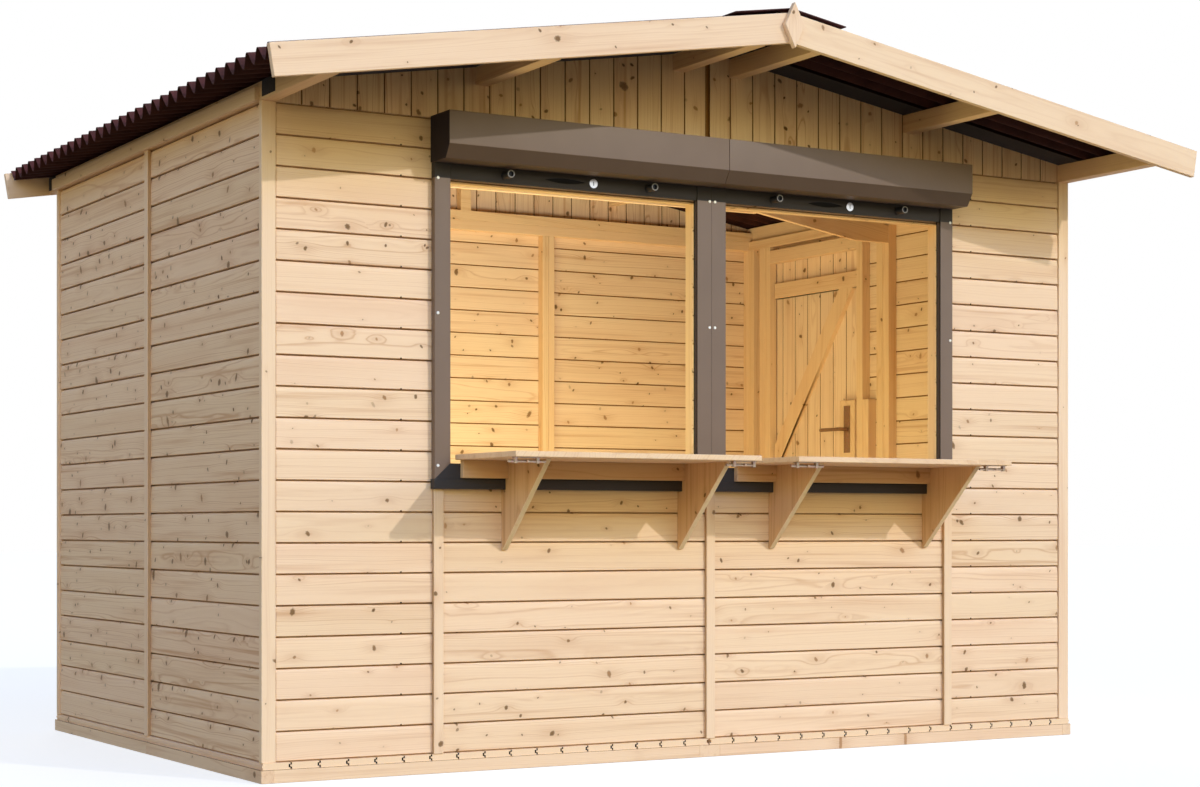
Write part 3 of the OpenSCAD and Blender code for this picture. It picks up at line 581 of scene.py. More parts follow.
def way_of(points):
    """The long way, the wide way and the middle of a piece of timber."""
    low = Vector([min(p[i] for p in points) for i in range(3)])
    high = Vector([max(p[i] for p in points) for i in range(3)])
    size = high - low
    order = sorted(range(3), key=lambda i: -size[i])
    axes = (X, Y, Z)
    middle = (low + high) / 2
    far = max(points, key=lambda p: (p - middle).length)
    ends = [p for p in points if (p - far).length < size.length * NEAR_END]
    others = [p for p in points if (p + far - 2 * middle).length < size.length * OTHER_END]
    along = axes[order[0]]
    if ends and others:
        line = sum(ends, Vector()) / len(ends) - sum(others, Vector()) / len(others)
        line.normalize()
        if abs(line.dot(along)) < math.cos(math.radians(LEVEL_WITHIN)):
            along = line if line.dot(along) > 0 else -line
    across = axes[order[1]]
    across = (across - along * across.dot(along)).normalized()
    return along, across, middle


def timber(node, material, slot, body="hut", along=None, across=None):
    """A CAD node's timbers with eased arrises, each with its own grain."""
    bm = solid_copy(node)
    store = Timber()
    for group in islands(bm):
        part = bmesh.new()
        index = {v: part.verts.new(v.co) for v in group}
        faces = {f for v in group for f in v.link_faces}
        for f in sorted(faces, key=lambda f: f.index):
            part.faces.new([index[v] for v in f.verts])
        long_way, wide_way, middle = way_of([v.co for v in part.verts])
        if along:
            long_way, wide_way = along, across
        face_outwards(part)
        ease(part, ARRIS)
        store.add(part, middle, long_way, wide_way, spread=0.8)
    bm.free()
    return store.piece("wood_" + node, body, slot, material, node)


def recolour(piece, material, chosen):
    """Gives a second material to the faces that a test picks by their middle and normal."""
    piece.data.materials.append(material)
    index = len(piece.data.materials) - 1
    for face in piece.data.polygons:
        if chosen(face.center, face.normal):
            face.material_index = index


def metal(name, node, material, width, body="hut", segments=2, split_z=None, from_x=0.0):
    """A CAD node in metal or plastic, with rounded edges. A face that crosses split_z is parted there."""
    part = solid_copy(node)
    ease(part, width, segments, from_x)
    if split_z:
        bmesh.ops.bisect_plane(part, geom=everything(part), plane_co=Z * split_z, plane_no=Z)
    return link(name, mesh_of(name, part), body, material, (node,))


# Wall boarding

ROWS = 21  # boards from the floor to the eave
COVE_H = 22 * MM  # hollow along the top of each wall board
COVE_DEPTH = 5.5 * MM
COVE_STEP = 0.8 * MM  # small step from the board's face into the hollow
COVE_FLATS = 7
JOINT_GAP = 4.6 * MM  # dark slot between two wall boards
REAR_GAP = 4.5 * MM  # the same joint seen from inside
LAP = 6 * MM  # tongue of a board behind the next one
LAP_DEPTH = 0.74  # of the board's thickness, where the tongue starts
LAP_PLAY = 0.2 * MM
FOOT_GAP = 3.5 * MM  # dark slot under the lowest boards
LIP_DEPTH = 0.5  # of the board's thickness, how deep that slot is
FOOT_ARRIS = 1.2 * ARRIS  # depth of the chamfer at a wall board's foot
BOARD_END = 0.3 * MM
CORNER_GAP = 1.3 * MM  # more gap where boards end at a corner board

TONGUE = 5.5 * MM  # of a matched board
TONGUE_FROM, TONGUE_TO = 0.36, 0.64  # where it lies, as shares of the board's thickness
TONGUE_PLAY = 0.2 * MM  # above and below the tongue
TONGUE_SHORT = 0.5 * MM  # less than its groove is deep
MATCHED_GAP = 3.8 * MM
MIDDLE_GAP = 0.5 * MM  # half of the gap where two halves of a gable or a floor meet
MIDDLE_REBATE = 9 * MM  # half of the wide joint in the middle of each gable
GABLE_COVER = 85.8 * MM

# Places of panel joints, from the hut's middle
FRONT_JOINT = 951 * MM
BACK_JOINT = 474 * MM
HATCH_IN, HATCH_OUT = 49 * MM, 921 * MM
SILL_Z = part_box("front_wall_piers")[0].z
HEAD_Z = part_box("front_wall_piers")[1].z

# Purlins, as the gables' boards are notched for them
PURLIN_HALF = 23 * MM
PURLIN_H = 56 * MM
PURLINS_X = (105.5 * MM, 797.5 * MM)
NOTCH_REACH = 0.2  # of the block that cuts a notch, past the boards
NOTCH_H = 0.5

wall_low, wall_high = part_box("left_wall")
FLOOR_Z = wall_low.z
EAVE_Z = wall_high.z
COVER = (EAVE_Z - FLOOR_Z) / ROWS
CLAD_X = -wall_low.x
FRAME_X = -wall_high.x
BOARDS_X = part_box("front_wall_below")[1].x
CLAD_Y = -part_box("front_wall_below")[0].y
FRAME_Y = -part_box("front_wall_below")[1].y
THICK = CLAD_X - FRAME_X
SIDE_END = FRAME_Y - CORNER_GAP

# Spans of depth in the boards' joints and how dark the painted shade in them is: for wall boards the slot
# outside, the overlap's rear as seen from inside, and the tongue
LAP_AT = THICK * LAP_DEPTH
WALL_JOINT_SHADE = ((THICK * 0.45, LAP_AT - LAP_PLAY * 1.5, OUTER_SHADE),
              (LAP_AT - LAP_PLAY * 1.5, LAP_AT - LAP_PLAY / 2, 1.0),
              (LAP_AT - LAP_PLAY / 2, THICK * 0.85, OUTER_SHADE))
MATCHED_JOINT_SHADE = ((THICK * 0.15, THICK * 0.8, 1.0),)


def shiplap(foot=0.0):
    """Wall board: flat face, a shallow hollow towards its top, a tongue behind the next board.
    Points run up the board (first value) and into the wall (second value)."""
    hollow = []
    for i in range(COVE_FLATS + 1):
        turn = math.pi / 2 * i / COVE_FLATS
        hollow.append((COVER - COVE_H + (COVE_H - JOINT_GAP) * math.sin(turn),
                       COVE_STEP + (COVE_DEPTH - COVE_STEP) * (1 - math.cos(turn))))
    top, rear = COVER + LAP, LAP + REAR_GAP
    lip = [(0, THICK * LIP_DEPTH), (foot, THICK * LIP_DEPTH)] if foot else []
    return (lip + [(foot, FOOT_ARRIS), (foot + ARRIS, 0), (COVER - COVE_H, 0)] + hollow
            + [(COVER - JOINT_GAP, LAP_AT), (top, LAP_AT), (top, THICK - ARRIS), (top - ARRIS, THICK),
               (rear + ARRIS, THICK), (rear, THICK - ARRIS), (rear, LAP_AT - LAP_PLAY),
               (0, LAP_AT - LAP_PLAY)])


def matched(cover, thick, gap, rebate=0.0, play=TONGUE_PLAY):
    """Tongue and groove board with a small V joint on both faces, tongue on the far side. A rebate
    takes the place of the groove."""
    a, b = thick * TONGUE_FROM, thick * TONGUE_TO
    left, right = rebate or gap / 2, cover - gap / 2
    tip = right + TONGUE - TONGUE_SHORT
    face = [(left, ARRIS), (left + ARRIS, 0), (right - ARRIS, 0), (right, ARRIS)]
    tongue = [(right, a), (tip, a), (tip, b), (right, b), (right, thick - ARRIS), (right - ARRIS, thick)]
    if rebate:
        return face + tongue + [(MIDDLE_GAP, thick), (MIDDLE_GAP, b), (left, b)]
    return face + tongue + [(left + ARRIS, thick), (left, thick - ARRIS), (left, b + play),
                            (left + TONGUE, b + play), (left + TONGUE, a - play), (left, a - play)]


def wall_row(store, row, start, end, facing, low=0.0, high=None, knotty=0.0):
    """One wall board between two places along a wall. facing is the wall's outward way."""
    along = Z.cross(facing)
    face = CLAD_Y if abs(facing.y) > MOSTLY else CLAD_X
    bottom = FLOOR_Z + row * COVER
    origin = facing * face + along * start + Z * bottom
    bm = swept(shiplap(0.0 if row else FOOT_GAP), origin, along, Z, -facing, end - start)
    if low > bottom:
        cut(bm, Z * low, -Z)
    top = EAVE_Z if row == ROWS - 1 else high
    if top:
        cut(bm, Z * top, Z)
    store.add(bm, origin, along, Z, joint=WALL_JOINT_SHADE, knotty=knotty)


def rows_between(low, high):
    """The rows of boards that reach into a span of heights by more than 1 mm."""
    tops = [FLOOR_Z + (row + 1) * COVER for row in range(ROWS)]
    return [row for row, top in enumerate(tops) if top > low + MM and FLOOR_Z + row * COVER < high - MM]


def front_walls():
    """The front boarding: whole rows under and over the hatches, short ones beside and between them."""
    outer = BOARDS_X - CORNER_GAP
    panels = ((-outer, -FRONT_JOINT), (-FRONT_JOINT, 0), (0, FRONT_JOINT), (FRONT_JOINT, outer))
    below, piers, over = Timber(), Timber(), Timber()
    sill_row = rows_between(SILL_Z, EAVE_Z)[0]
    head_row = rows_between(HEAD_Z, EAVE_Z)[0]
    for row in range(ROWS):
        if row < sill_row or row > head_row:
            store = below if row < sill_row else over
            for start, end in panels:
                wall_row(store, row, start + BOARD_END, end - BOARD_END, -Y)
            continue
        for start, end in ((-outer, -HATCH_OUT), (-HATCH_IN, HATCH_IN), (HATCH_OUT, outer)):
            wall_row(piers, row, start + BOARD_END, end - BOARD_END, -Y)
        for start, end in ((-HATCH_OUT, -HATCH_IN), (HATCH_IN, HATCH_OUT)):
            if row == sill_row:
                wall_row(below, row, start, end, -Y, high=SILL_Z)
            if row == head_row:
                wall_row(over, row, start, end, -Y, low=HEAD_Z)
    for part, store in (("below", below), ("piers", piers), ("over", over)):
        store.piece("boards_front_" + part, "hut", "wall_wood", WALL, "front_wall_" + part)


def plain_wall(name, node, facing, joints, knotty=0.0):
    """A wall without openings; joints are the panel ends along it."""
    store = Timber()
    for row in range(ROWS):
        for start, end in zip(joints, joints[1:]):
            wall_row(store, row, start + BOARD_END, end - BOARD_END, facing, knotty=knotty)
    store.piece(name, "hut", "wall_wood", WALL, node)


def right_walls():
    """The wall with the doorway, whose boards end at the leaf."""
    front_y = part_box("right_wall_front")[1].y
    back_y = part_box("right_wall_back")[0].y
    over_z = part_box("right_wall_over_door")[0].z
    front, over, back = Timber(), Timber(), Timber()
    for row in range(ROWS):
        wall_row(front, row, -SIDE_END, -BOARD_END, X)
        wall_row(front, row, BOARD_END, front_y, X)
        wall_row(back, row, back_y, SIDE_END, X)
    for row in rows_between(over_z, EAVE_Z):
        wall_row(over, row, front_y, back_y, X, low=over_z)
    for part, store in (("front", front), ("over_door", over), ("back", back)):
        store.piece("boards_right_" + part, "hut", "wall_wood", WALL, "right_wall_" + part)


# The roof
ROOF_PITCH = math.radians(9.27)
WAVE = 76 * MM
WAVE_H = 38 * MM
WAVE_STEPS = 20
SHEET_THICK = 3 * MM
SHEET_REACH = 1630 * MM  # from the ridge to the sheets' lower edge, measured level
RIDGE_GAP = 1 * MM
EAVE_PURLIN_X = 1474.5 * MM  # the middle of the eave purlins, and their top
EAVE_PURLIN_TOP = 1976 * MM
SEAL_THICK = 1.5 * MM  # sealing strips between purlins and sheets, and the gaps round them
SEAL_GAPS = 0.2 * MM


def notch(bm, side, left, right, under):
    """Cuts the space of a purlin out of an upright board."""
    xs = [v.co.dot(side) for v in bm.verts]
    if not bm.verts or max(xs) <= left or min(xs) >= right:
        return
    tool = bmesh.new()
    middle_y = sum(v.co.y for v in bm.verts) / len(bm.verts)
    a, b = side * left, side * right
    box_mesh(tool, Vector((min(a.x, b.x), middle_y - NOTCH_REACH, under)),
             Vector((max(a.x, b.x), middle_y + NOTCH_REACH, under + NOTCH_H)))
    subtract(bm, tool)


def gable(name, node, facing):
    """Upright matched boards under the roof, notched round the purlins."""
    low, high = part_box(node)
    store = Timber()
    for side in (-1, 1):
        outward = X * side
        roof_way = (outward * math.sin(ROOF_PITCH) + Z * math.cos(ROOF_PITCH)).normalized()
        for i in range(math.ceil(high.x / GABLE_COVER)):
            profile = matched(GABLE_COVER, THICK, MATCHED_GAP, rebate=0.0 if i else MIDDLE_REBATE)
            origin = facing * CLAD_Y + outward * (i * GABLE_COVER) + Z * low.z
            bm = swept(profile, origin, Z, outward, -facing, high.z - low.z)
            cut(bm, Z * high.z, roof_way)
            cut(bm, outward * high.x, outward)
            for centre in PURLINS_X:
                under = high.z - centre * math.tan(ROOF_PITCH) - PURLIN_H
                notch(bm, outward, centre - PURLIN_HALF, centre + PURLIN_HALF, under)
            store.add(bm, origin, Z, outward, joint=MATCHED_JOINT_SHADE, knotty=1.2)
    store.piece(name, "hut", "wall_wood", WALL, node)


front_walls()
plain_wall("boards_left", "left_wall", -X, (-SIDE_END, 0, SIDE_END), knotty=1.3)
plain_wall("boards_back", "back_wall", Y, (-BOARDS_X, -BACK_JOINT, BACK_JOINT, BOARDS_X), knotty=0.7)
right_walls()
gable("boards_front_gable", "front_gable", -Y)
gable("boards_back_gable", "back_gable", Y)


# Floor and door boards

DECK_BOARDS = 17  # floor boards in each half
DECK_GAP = 4.8 * MM
DECK_PLAY = 2.2 * MM
DECK_END_DEPTH = 5 * MM  # faces this near to the boards' ends show end grain
SHADE_STRIP_IN = 3 * MM  # how far in from the boards' ends the painted shade strips in their joints lie
SHADE_STRIP_HALF = 8 * MM  # half of its width
SHADE_STRIP_LESS = 1 * MM  # how far it keeps from the boards' faces, and half of its depth
DOOR_COVER = 87.2 * MM
DOOR_JOINT = 719 * MM  # the leaf's first joint from its hinges


def floor_boards():
    """Matched floor boards in four sections, their ends showing at the front and back."""
    low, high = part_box("floor_deck")
    cover = (high.x - MIDDLE_GAP) / DECK_BOARDS
    profile = matched(cover, high.z - low.z, DECK_GAP, play=DECK_PLAY)
    quarters = [(side, end) for side in (-1, 1) for end in (-1, 1)]
    store = Timber()
    for side, end in quarters:
        for i in range(DECK_BOARDS):
            origin = X * side * (MIDDLE_GAP + i * cover) + Y * end * MIDDLE_GAP + Z * high.z
            bm = swept(profile, origin, Y * end, X * side, -Z, high.y - MIDDLE_GAP)
            if i == DECK_BOARDS - 1:
                cut(bm, X * side * high.x, X * side)
            store.add(bm, origin, Y, X)
    boards = store.piece("floor_boards", "hut", "floor_wood", FLOOR, "floor_deck")
    recolour(boards, DECK_END,
             lambda at, normal: abs(normal.y) > MOSTLY and abs(at.y) > high.y - DECK_END_DEPTH)
    # Painted shade: dark strips just behind the boards' ends, in the joints between them
    painted_shade = bmesh.new()
    for side, end in quarters:
        for i in range(1, DECK_BOARDS):
            x, y = side * (MIDDLE_GAP + i * cover), end * (high.y - SHADE_STRIP_IN)
            box_mesh(painted_shade, Vector((x - SHADE_STRIP_HALF, y - SHADE_STRIP_LESS, low.z + SHADE_STRIP_LESS)),
                     Vector((x + SHADE_STRIP_HALF, y + SHADE_STRIP_LESS, high.z - SHADE_STRIP_LESS)))
    link("deck_joint_shade", mesh_of("deck_joint_shade", painted_shade), "hut", DARK_SLOT)


def door_boards():
    """The leaf: upright matched boards, the outer two cut to fit."""
    low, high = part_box("door_leaf")
    profile = matched(DOOR_COVER, high.x - low.x, MATCHED_GAP)
    store = Timber()
    start = DOOR_JOINT + DOOR_COVER
    while start > low.y:
        origin = Y * start + X * high.x + Z * low.z
        bm = swept(profile, origin, Z, -Y, -X, high.z - low.z)
        cut(bm, Y * high.y, Y)
        cut(bm, Y * low.y, -Y)
        store.add(bm, origin, Z, -Y, joint=MATCHED_JOINT_SHADE, knotty=0.5)
        start -= DOOR_COVER
    store.piece("door_boards", "door", "wall_wood", WALL, "door_leaf")


floor_boards()
door_boards()


# Timbers

LEDGE_H = 64 * MM
LEDGES_Z = (200 * MM, 880 * MM, 1666 * MM)


def braced_door():
    """Ledges and sloping braces, cut apart where the grain turns."""
    whole = solid_copy("door_brace")
    low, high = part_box("door_brace")
    store = Timber()
    spans = [(z, z + LEDGE_H, True) for z in LEDGES_Z]
    spans += [(a + LEDGE_H, b, False) for a, b in zip(LEDGES_Z, LEDGES_Z[1:])]
    for bottom, top, level in spans:
        part = whole.copy()
        cut(part, Z * bottom, -Z)
        cut(part, Z * top, Z)
        way = Y
        if not level:
            foot = [v.co.y for v in part.verts if v.co.z < bottom + MM]
            head = [v.co.y for v in part.verts if v.co.z > top - MM]
            way = Vector((0, sum(head) / len(head) - sum(foot) / len(foot), top - bottom)).normalized()
        ease(part, ARRIS)
        middle = Vector((low.x, (low.y + high.y) / 2, (bottom + top) / 2))
        store.add(part, middle, way, way.cross(X))
    whole.free()
    store.piece("wood_door_brace", "door", "frame_wood", FRAME, "door_brace")


for slot, material, nodes in (
        ("floor_wood", FLOOR, ("floor_bearers_long", "floor_bearers_cross")),
        ("frame_wood", FRAME, ("front_studs", "side_studs", "back_studs", "front_rails", "side_rails",
                               "back_rails", "gable_frames")),
        ("trim_wood", TRIM, ("corner_boards", "eave_boards")),
        ("frame_wood", FRAME, ("purlins", "roof_truss", "purlin_blocks")),
        ("trim_wood", TRIM, ("bargeboards", "gable_plates")),
        ("shelf_wood", SHELF, ("shelf_left", "shelf_right")),
        ("shelf_wood", BRACKET, ("shelf_cleats",))):
    for node in nodes:
        timber(node, material, slot)
# Painted shade: the bearers' faces that slope upwards are darkened
for name in ("wood_floor_bearers_long", "wood_floor_bearers_cross"):
    recolour(bpy.data.objects[name], ARRIS_SHADE, lambda at, normal: PARTLY < normal.z < SQUARELY)
battens = timber("wall_battens", TRIM, "trim_wood")
# Painted shade on the battens' side faces
recolour(battens, SIDE_SHADE, lambda at, normal: abs(normal.x if abs(at.y) > CLAD_Y else normal.y) > SQUARELY)
brackets = timber("shelf_brackets", BRACKET, "shelf_wood", along=Z, across=Y)
# Painted light on the brackets' sloping faces that turn forwards and down
recolour(brackets, SLOPE_LIGHT, lambda at, normal: normal.y < -PARTLY and normal.z < -SLIGHTLY)
braced_door()
timber("door_lock", FRAME, "frame_wood", body="door")


# Roof covering

def roof_sheets(side, name):
    """One slope's corrugated sheets, closed at both ends by a face for each step of the wave."""
    low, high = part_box("roof_sheets")
    ridge = Z * (EAVE_PURLIN_TOP + EAVE_PURLIN_X * math.tan(ROOF_PITCH) + SEAL_THICK / math.cos(ROOF_PITCH)
                 + SEAL_GAPS)
    down = Vector((math.cos(ROOF_PITCH), 0, -math.sin(ROOF_PITCH)))
    up = Vector((math.sin(ROOF_PITCH), 0, math.cos(ROOF_PITCH)))
    flip = Matrix.Scale(side, 3, X)
    profile = []
    for i in range(int(round((high.y - low.y) / WAVE * WAVE_STEPS)) + 1):
        y = low.y + i * WAVE / WAVE_STEPS
        profile.append((y, WAVE_H / 2 * (1 - math.cos(2 * math.pi * (y - low.y) / WAVE))))
    outline = profile + [(y, h + SHEET_THICK) for y, h in reversed(profile)]
    bm = bmesh.new()
    top, foot = [[bm.verts.new(flip @ (ridge + down * t + up * h) + Y * y) for y, h in outline]
                 for t in (RIDGE_GAP, SHEET_REACH / math.cos(ROOF_PITCH))]
    bridge(bm, top, foot)
    count = len(outline)
    for ring in (top, foot):
        for i in range(count // 2 - 1):
            bm.faces.new((ring[i], ring[i + 1], ring[count - 2 - i], ring[count - 1 - i]))
    face_outwards(bm)
    sheets = link(name, mesh_of(name, bm), "hut", SHEET, ("roof_sheets",), smooth=60)
    recolour(sheets, SHEET_UNDER, lambda at, normal: normal.z < -SLIGHTLY)


roof_sheets(-1, "sheets_left")
roof_sheets(1, "sheets_right")
metal("ridge_cap_sheet", "ridge_cap", SHEET, width=0.6 * MM)
metal("felt_seals", "roof_seals", FELT, width=0.2 * MM)


# Shutters

GUIDE_ARRIS = 0.8 * MM
GUIDES_JOIN = 2 * MM  # edges nearer to the hut's middle stay sharp
GUIDE_SIDES = (20 * MM, 935 * MM)  # the guides' faces between these turn to the hatches
END_PLATE = 4 * MM  # thickness of the boxes' dark end plates
SLAT_Z = 1765.5 * MM  # middle of the end slats
LOCKS_X = (-428.5 * MM, 538.5 * MM)
LOCK_RADIUS = 14 * MM
LOCK_FACE = 1.2 * MM  # thickness of a lock's bright face
LOCK_BACK = 1 * MM  # how far it starts behind the guides' front
KEY_SLOT_LOW = Vector((-1.2, -1.4, -6)) * MM
KEY_SLOT_HIGH = Vector((1.2, -0.5, 6)) * MM
RECESS_FROM_LOCK = 100 * MM
RECESS_W = 72 * MM
RECESS_H = 9 * MM
RECESS_DEEP = 1.5 * MM  # slat faces deeper than this are its recess
RIM_DEPTH = 1 * MM
CAPS = [(x, z) for x in (-955, 955) for z in (901, 1347, 1742)]  # in mm
CAPS += [(x, z) for x in (-8, 12) for z in (1347, 1742)]
NAILS_X = (-1063 * MM, 1063 * MM)
DISC_SIDE = 0.7  # of a disc's height, its straight side
DISC_TOP = 0.86  # of its radius, its flat top


def discs(name, places, radius, height, material, sides=24):
    """Flat round pieces that stand out towards the front."""
    turns = [2 * math.pi * i / sides for i in range(sides)]
    bm = bmesh.new()
    for place in places:
        rings = []
        for out, r in ((0, radius), (height * DISC_SIDE, radius), (height, radius * DISC_TOP)):
            rings.append([bm.verts.new(place - Y * out + (X * math.cos(a) + Z * math.sin(a)) * r)
                          for a in turns])
        for first, second in zip(rings, rings[1:]):
            bridge(bm, first, second)
        bm.faces.new(rings[0])
        bm.faces.new(rings[-1])
    face_outwards(bm)
    return link(name, mesh_of(name, bm), "hut", material)


def shutters():
    """Boxes with dark end plates, guides, and the curtains' end slats with their recesses and stops; painted
    shade on the boxes' undersides, the guides' tops, the guides' faces turned to the hatches and the slats'
    recesses.
    """
    curtain_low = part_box("shutter_curtains")[0]
    box_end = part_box("shutter_boxes")[1].x
    boxes = metal("box_shells", "shutter_boxes", SHUTTER, width=2.0 * MM, segments=3)
    # Painted shade on the boxes' faces that turn downwards
    recolour(boxes, UNDERSIDE_SHADE, lambda at, normal: normal.z < -PARTLY)
    recolour(boxes, END_CAP, lambda at, normal: abs(at.x) > box_end - END_PLATE and abs(normal.x) > MOSTLY)
    guides = metal("guide_rails", "shutter_guides", SHUTTER, width=GUIDE_ARRIS,
                   split_z=curtain_low.z, from_x=GUIDES_JOIN)
    # Painted shadow of the boxes on the guides' tops, down to the end slats' foot
    recolour(guides, CURTAIN, lambda at, normal: at.z > curtain_low.z)
    # Painted shade: the guides' faces turned to the hatches are made black
    recolour(guides, RUBBER, lambda at, normal: at.z < curtain_low.z and abs(normal.x) > MOSTLY
             and GUIDE_SIDES[0] < abs(at.x) < GUIDE_SIDES[1])
    slats = metal("curtain_slats", "shutter_curtains", CURTAIN, width=0.8 * MM)
    metal("sill_bars", "shutter_sills", CURTAIN, width=0.8 * MM)
    for lock_x in LOCKS_X:
        middle = lock_x - RECESS_FROM_LOCK
        surface = min(v.co.y for v in slats.data.vertices if abs(v.co.x - middle) < RECESS_W)
        # Painted shade on the faces deep in the slat's recess
        recolour(slats, RECESS_SHADE, lambda at, normal: abs(at.x - middle) < RECESS_W and normal.y < PARTLY
                 and abs(at.z - SLAT_Z) < RECESS_H and at.y > surface + RECESS_DEEP)
    recolour(slats, RUBBER, lambda at, normal: at.y < GUIDE_FACE)
    recolour(slats, RIM, lambda at, normal: at.y < curtain_low.y + RIM_DEPTH and normal.y < -PARTLY)


def locks_and_caps():
    """The shutters' locks with their key slots, the guides' screw caps, and the nails in the front piers."""
    locks = [Vector((x, GUIDE_FACE + LOCK_BACK, SLAT_Z)) for x in LOCKS_X]
    discs("lock_faces", locks, LOCK_RADIUS, LOCK_FACE, LOCK_CHROME, sides=32)
    # Painted shade: a dark bar on each lock for its key slot
    slot = bmesh.new()
    for lock in locks:
        box_mesh(slot, lock + KEY_SLOT_LOW, lock + KEY_SLOT_HIGH)
    link("key_slot_shade", mesh_of("key_slot_shade", slot), "hut", DARK_SLOT)
    caps = [Vector((x * MM, GUIDE_FACE, z * MM)) for x, z in CAPS]
    discs("screw_caps", caps, 4.5 * MM, 1.8 * MM, CAP_WHITE)
    nails = [Vector((x, -CLAD_Y + 0.3 * MM, FLOOR_Z + row * COVER + 1 * MM))
             for x in NAILS_X for row in range(1, ROWS)]
    discs("nail_heads", nails, 2.6 * MM, 0.7 * MM, DARK_SLOT, sides=10)


GUIDE_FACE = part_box("shutter_guides")[0].y
shutters()
locks_and_caps()


# Fittings

metal("slide_bolts", "shelf_bolts", ZINC, width=0.4 * MM)
metal("lever_sets", "door_handle", ZINC, body="door", width=0.5 * MM)
metal("leaf_hinges", "door_hinges", ZINC, body="door", width=0.3 * MM)
metal("post_hinges", "hinge_plates", ZINC, width=0.3 * MM)


# Light, floor and camera

WHITE = (1.0, 1.0, 1.0, 1.0)
# Distant lamps: name, the way they shine from, strength, colour, and how wide they look in degrees
DISTANT_LAMPS = (("key", (0.505, -1.0, 0.58), 1.2, (1.0, 0.95, 0.88), 0.8),
                 ("back", (0.35, 1.0, 0.5), 0.6, (1.0, 1.0, 1.0), 20.0))
# Lamps inside: name, place, the way they shine, size, power, colour, and how wide they spread in degrees
ROOM_LAMPS = (
    ("room_front", (-0.25, -0.72, 1.1), (0.0, 1.0, 0.35), (1.5, 0.6), 8.0, (0.96, 0.99, 0.88), 130),
    ("room_left", (-1.2, -0.45, 0.9), (1.0, 0.05, 0.1), (1.0, 1.0), 9.0, (0.96, 1.0, 0.48), 180),
    ("room_floor", (-0.1, -0.15, 0.12), (0.0, 0.1, 1.0), (1.9, 0.8), 15.5, (1.0, 0.95, 0.46), 180))
# The glow in front of the hut at rising heights: the sine of the height, then the light's strength
GLOW = ((0.04, (1.5, 1.16, 0.47)), (0.17, (2.3, 1.95, 0.85)), (0.28, (3.4, 3.25, 1.8)),
        (0.35, (2.5, 2.8, 2.7)), (0.42, (2.3, 3.2, 4.9)), (0.52, (0.6, 1.5, 4.4)), (0.66, (0.3, 0.5, 0.75)))
GLOW_WAY = (0.1, -0.995, 0.0)
GLOW_PEAK = 5.0
GLOW_BEHIND = 0.2  # the glow behind the hut as a share of the glow in front
GROUND_BOUNCE = (0.30, 0.20, 0.09, 1.0)
GROUND_HALF = 60.0
GROUND_DROP = 0.5 * MM
FLOOR_DIFFUSE = (0.45, 0.45, 0.45, 1.0)
FLOOR_BASE = 0.7
EYE = (-3.8436, -6.8531, 0.7158)
EYE_TURN = (90, 0, -30.386)  # in degrees
SENSOR = 36  # the sensor's width and the focal length, in millimetres
LENS = 66.94
SHIFT_UP = 0.1128  # as a share of the picture's width


def seen_directly(g):
    """1 for the rays that show the background itself: straight to the camera, or by gloss or glass."""
    path = g.make("LightPath")
    seen = g.math("MAXIMUM", path.outputs["Is Camera Ray"], path.outputs["Is Glossy Ray"])
    return g.math("MAXIMUM", seen, path.outputs["Is Transmission Ray"])


def lamp(name, kind, way, shines, energy, colour):
    """A lamp with one of its axes, named by shines, along the given way."""
    made = in_scene(name, bpy.data.lights.new(name, kind))
    made.data.energy = energy
    made.data.color = colour
    made.rotation_mode = "QUATERNION"
    made.rotation_quaternion = Vector(way).to_track_quat(shines, "Y")
    return made


def lamps():
    """The sun, a weak light from behind, and warm light inside, as floor and walls give the sun back."""
    for name, way, energy, colour, angle in DISTANT_LAMPS:
        lamp(name, "SUN", way, "Z", energy, colour).data.angle = math.radians(angle)
    for name, place, way, size, energy, colour, spread in ROOM_LAMPS:
        glow = lamp(name, "AREA", way, "-Z", energy, colour)
        glow.data.shape = "RECTANGLE"
        glow.data.size, glow.data.size_y = size
        glow.data.spread = math.radians(spread)
        glow.location = place
        glow.visible_camera = False
        glow.visible_glossy = False


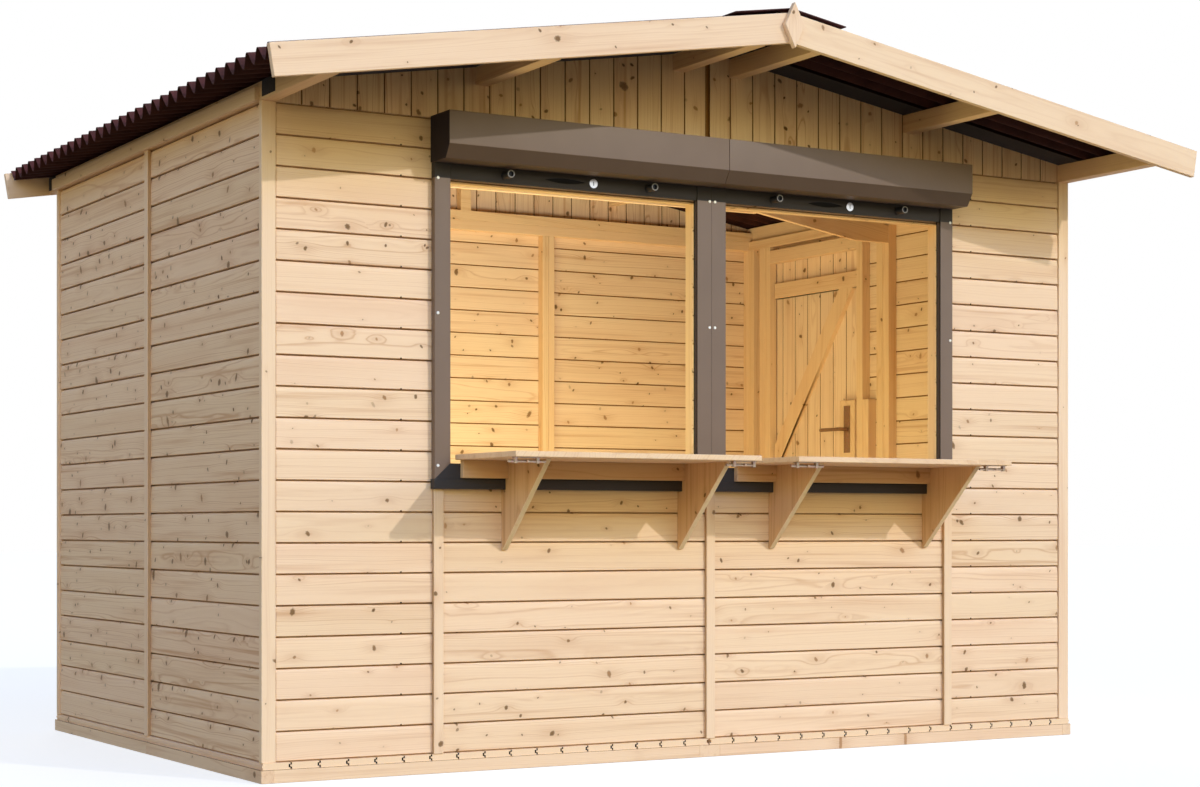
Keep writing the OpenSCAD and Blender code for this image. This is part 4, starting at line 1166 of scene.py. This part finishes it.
def surroundings():
    """A pale glow from low round the hut, stronger in front, under a dimmer sky; white where it is seen."""
    world = bpy.data.worlds.new("surroundings")
    bpy.context.scene.world = world
    g = Graph(world)
    g.tree.nodes.clear()
    way = g.node("TexCoord", "Generated")
    facing = g.line(g.vector("DOT_PRODUCT", way, GLOW_WAY), 0.5, 0.5)
    share = g.line(g.times(facing, facing), 1 - GLOW_BEHIND, GLOW_BEHIND)
    bands = g.make_of("ValToRGB", (g.split(way)[2],))
    stops = bands.color_ramp.elements
    while len(stops) < len(GLOW):
        stops.new(1.0)
    for stop, (height, strength) in zip(stops, GLOW):
        stop.position = height
        stop.color = [v / GLOW_PEAK for v in strength] + [1.0]
    fill = g.node("Background", Color=bands.outputs[0], Strength=g.times(share, GLOW_PEAK))
    white = g.node("Background", Color=WHITE, Strength=1.0)
    g.make("OutputWorld", Surface=g.either(seen_directly(g), fill, white))


def ground():
    """A plain pale floor under the bearers."""
    mesh = bpy.data.meshes.new("floor")
    corners = [Vector((x, y, 0)) * GROUND_HALF for x, y in ((-1, -1), (1, -1), (1, 1), (-1, 1))]
    mesh.from_pydata([c - Z * GROUND_DROP for c in corners], [], [(0, 1, 2, 3)])
    floor = in_scene("floor", mesh)
    g = new_material("floor")
    bounce = g.node("BsdfDiffuse", Color=GROUND_BOUNCE)
    shadowed = g.node("BsdfDiffuse", Color=FLOOR_DIFFUSE)
    base = g.node("Emission", Color=WHITE, Strength=FLOOR_BASE)
    pale = g.make_of("AddShader", (shadowed, base)).outputs[0]
    g.put(g.either(seen_directly(g), bounce, pale), g.tree.nodes["Material Output"].inputs["Surface"])
    mesh.materials.append(g.owner)


def camera():
    """The photograph's viewpoint."""
    data = bpy.data.cameras.new("camera")
    data.sensor_width = SENSOR
    data.lens = LENS
    data.shift_y = SHIFT_UP
    data.clip_end = 200
    eye = in_scene("camera", data)
    eye.location = EYE
    eye.rotation_euler = [math.radians(turn) for turn in EYE_TURN]
    bpy.context.scene.camera = eye


lamps()
surroundings()
ground()
camera()
bpy.context.scene.view_settings.view_transform = "Standard"
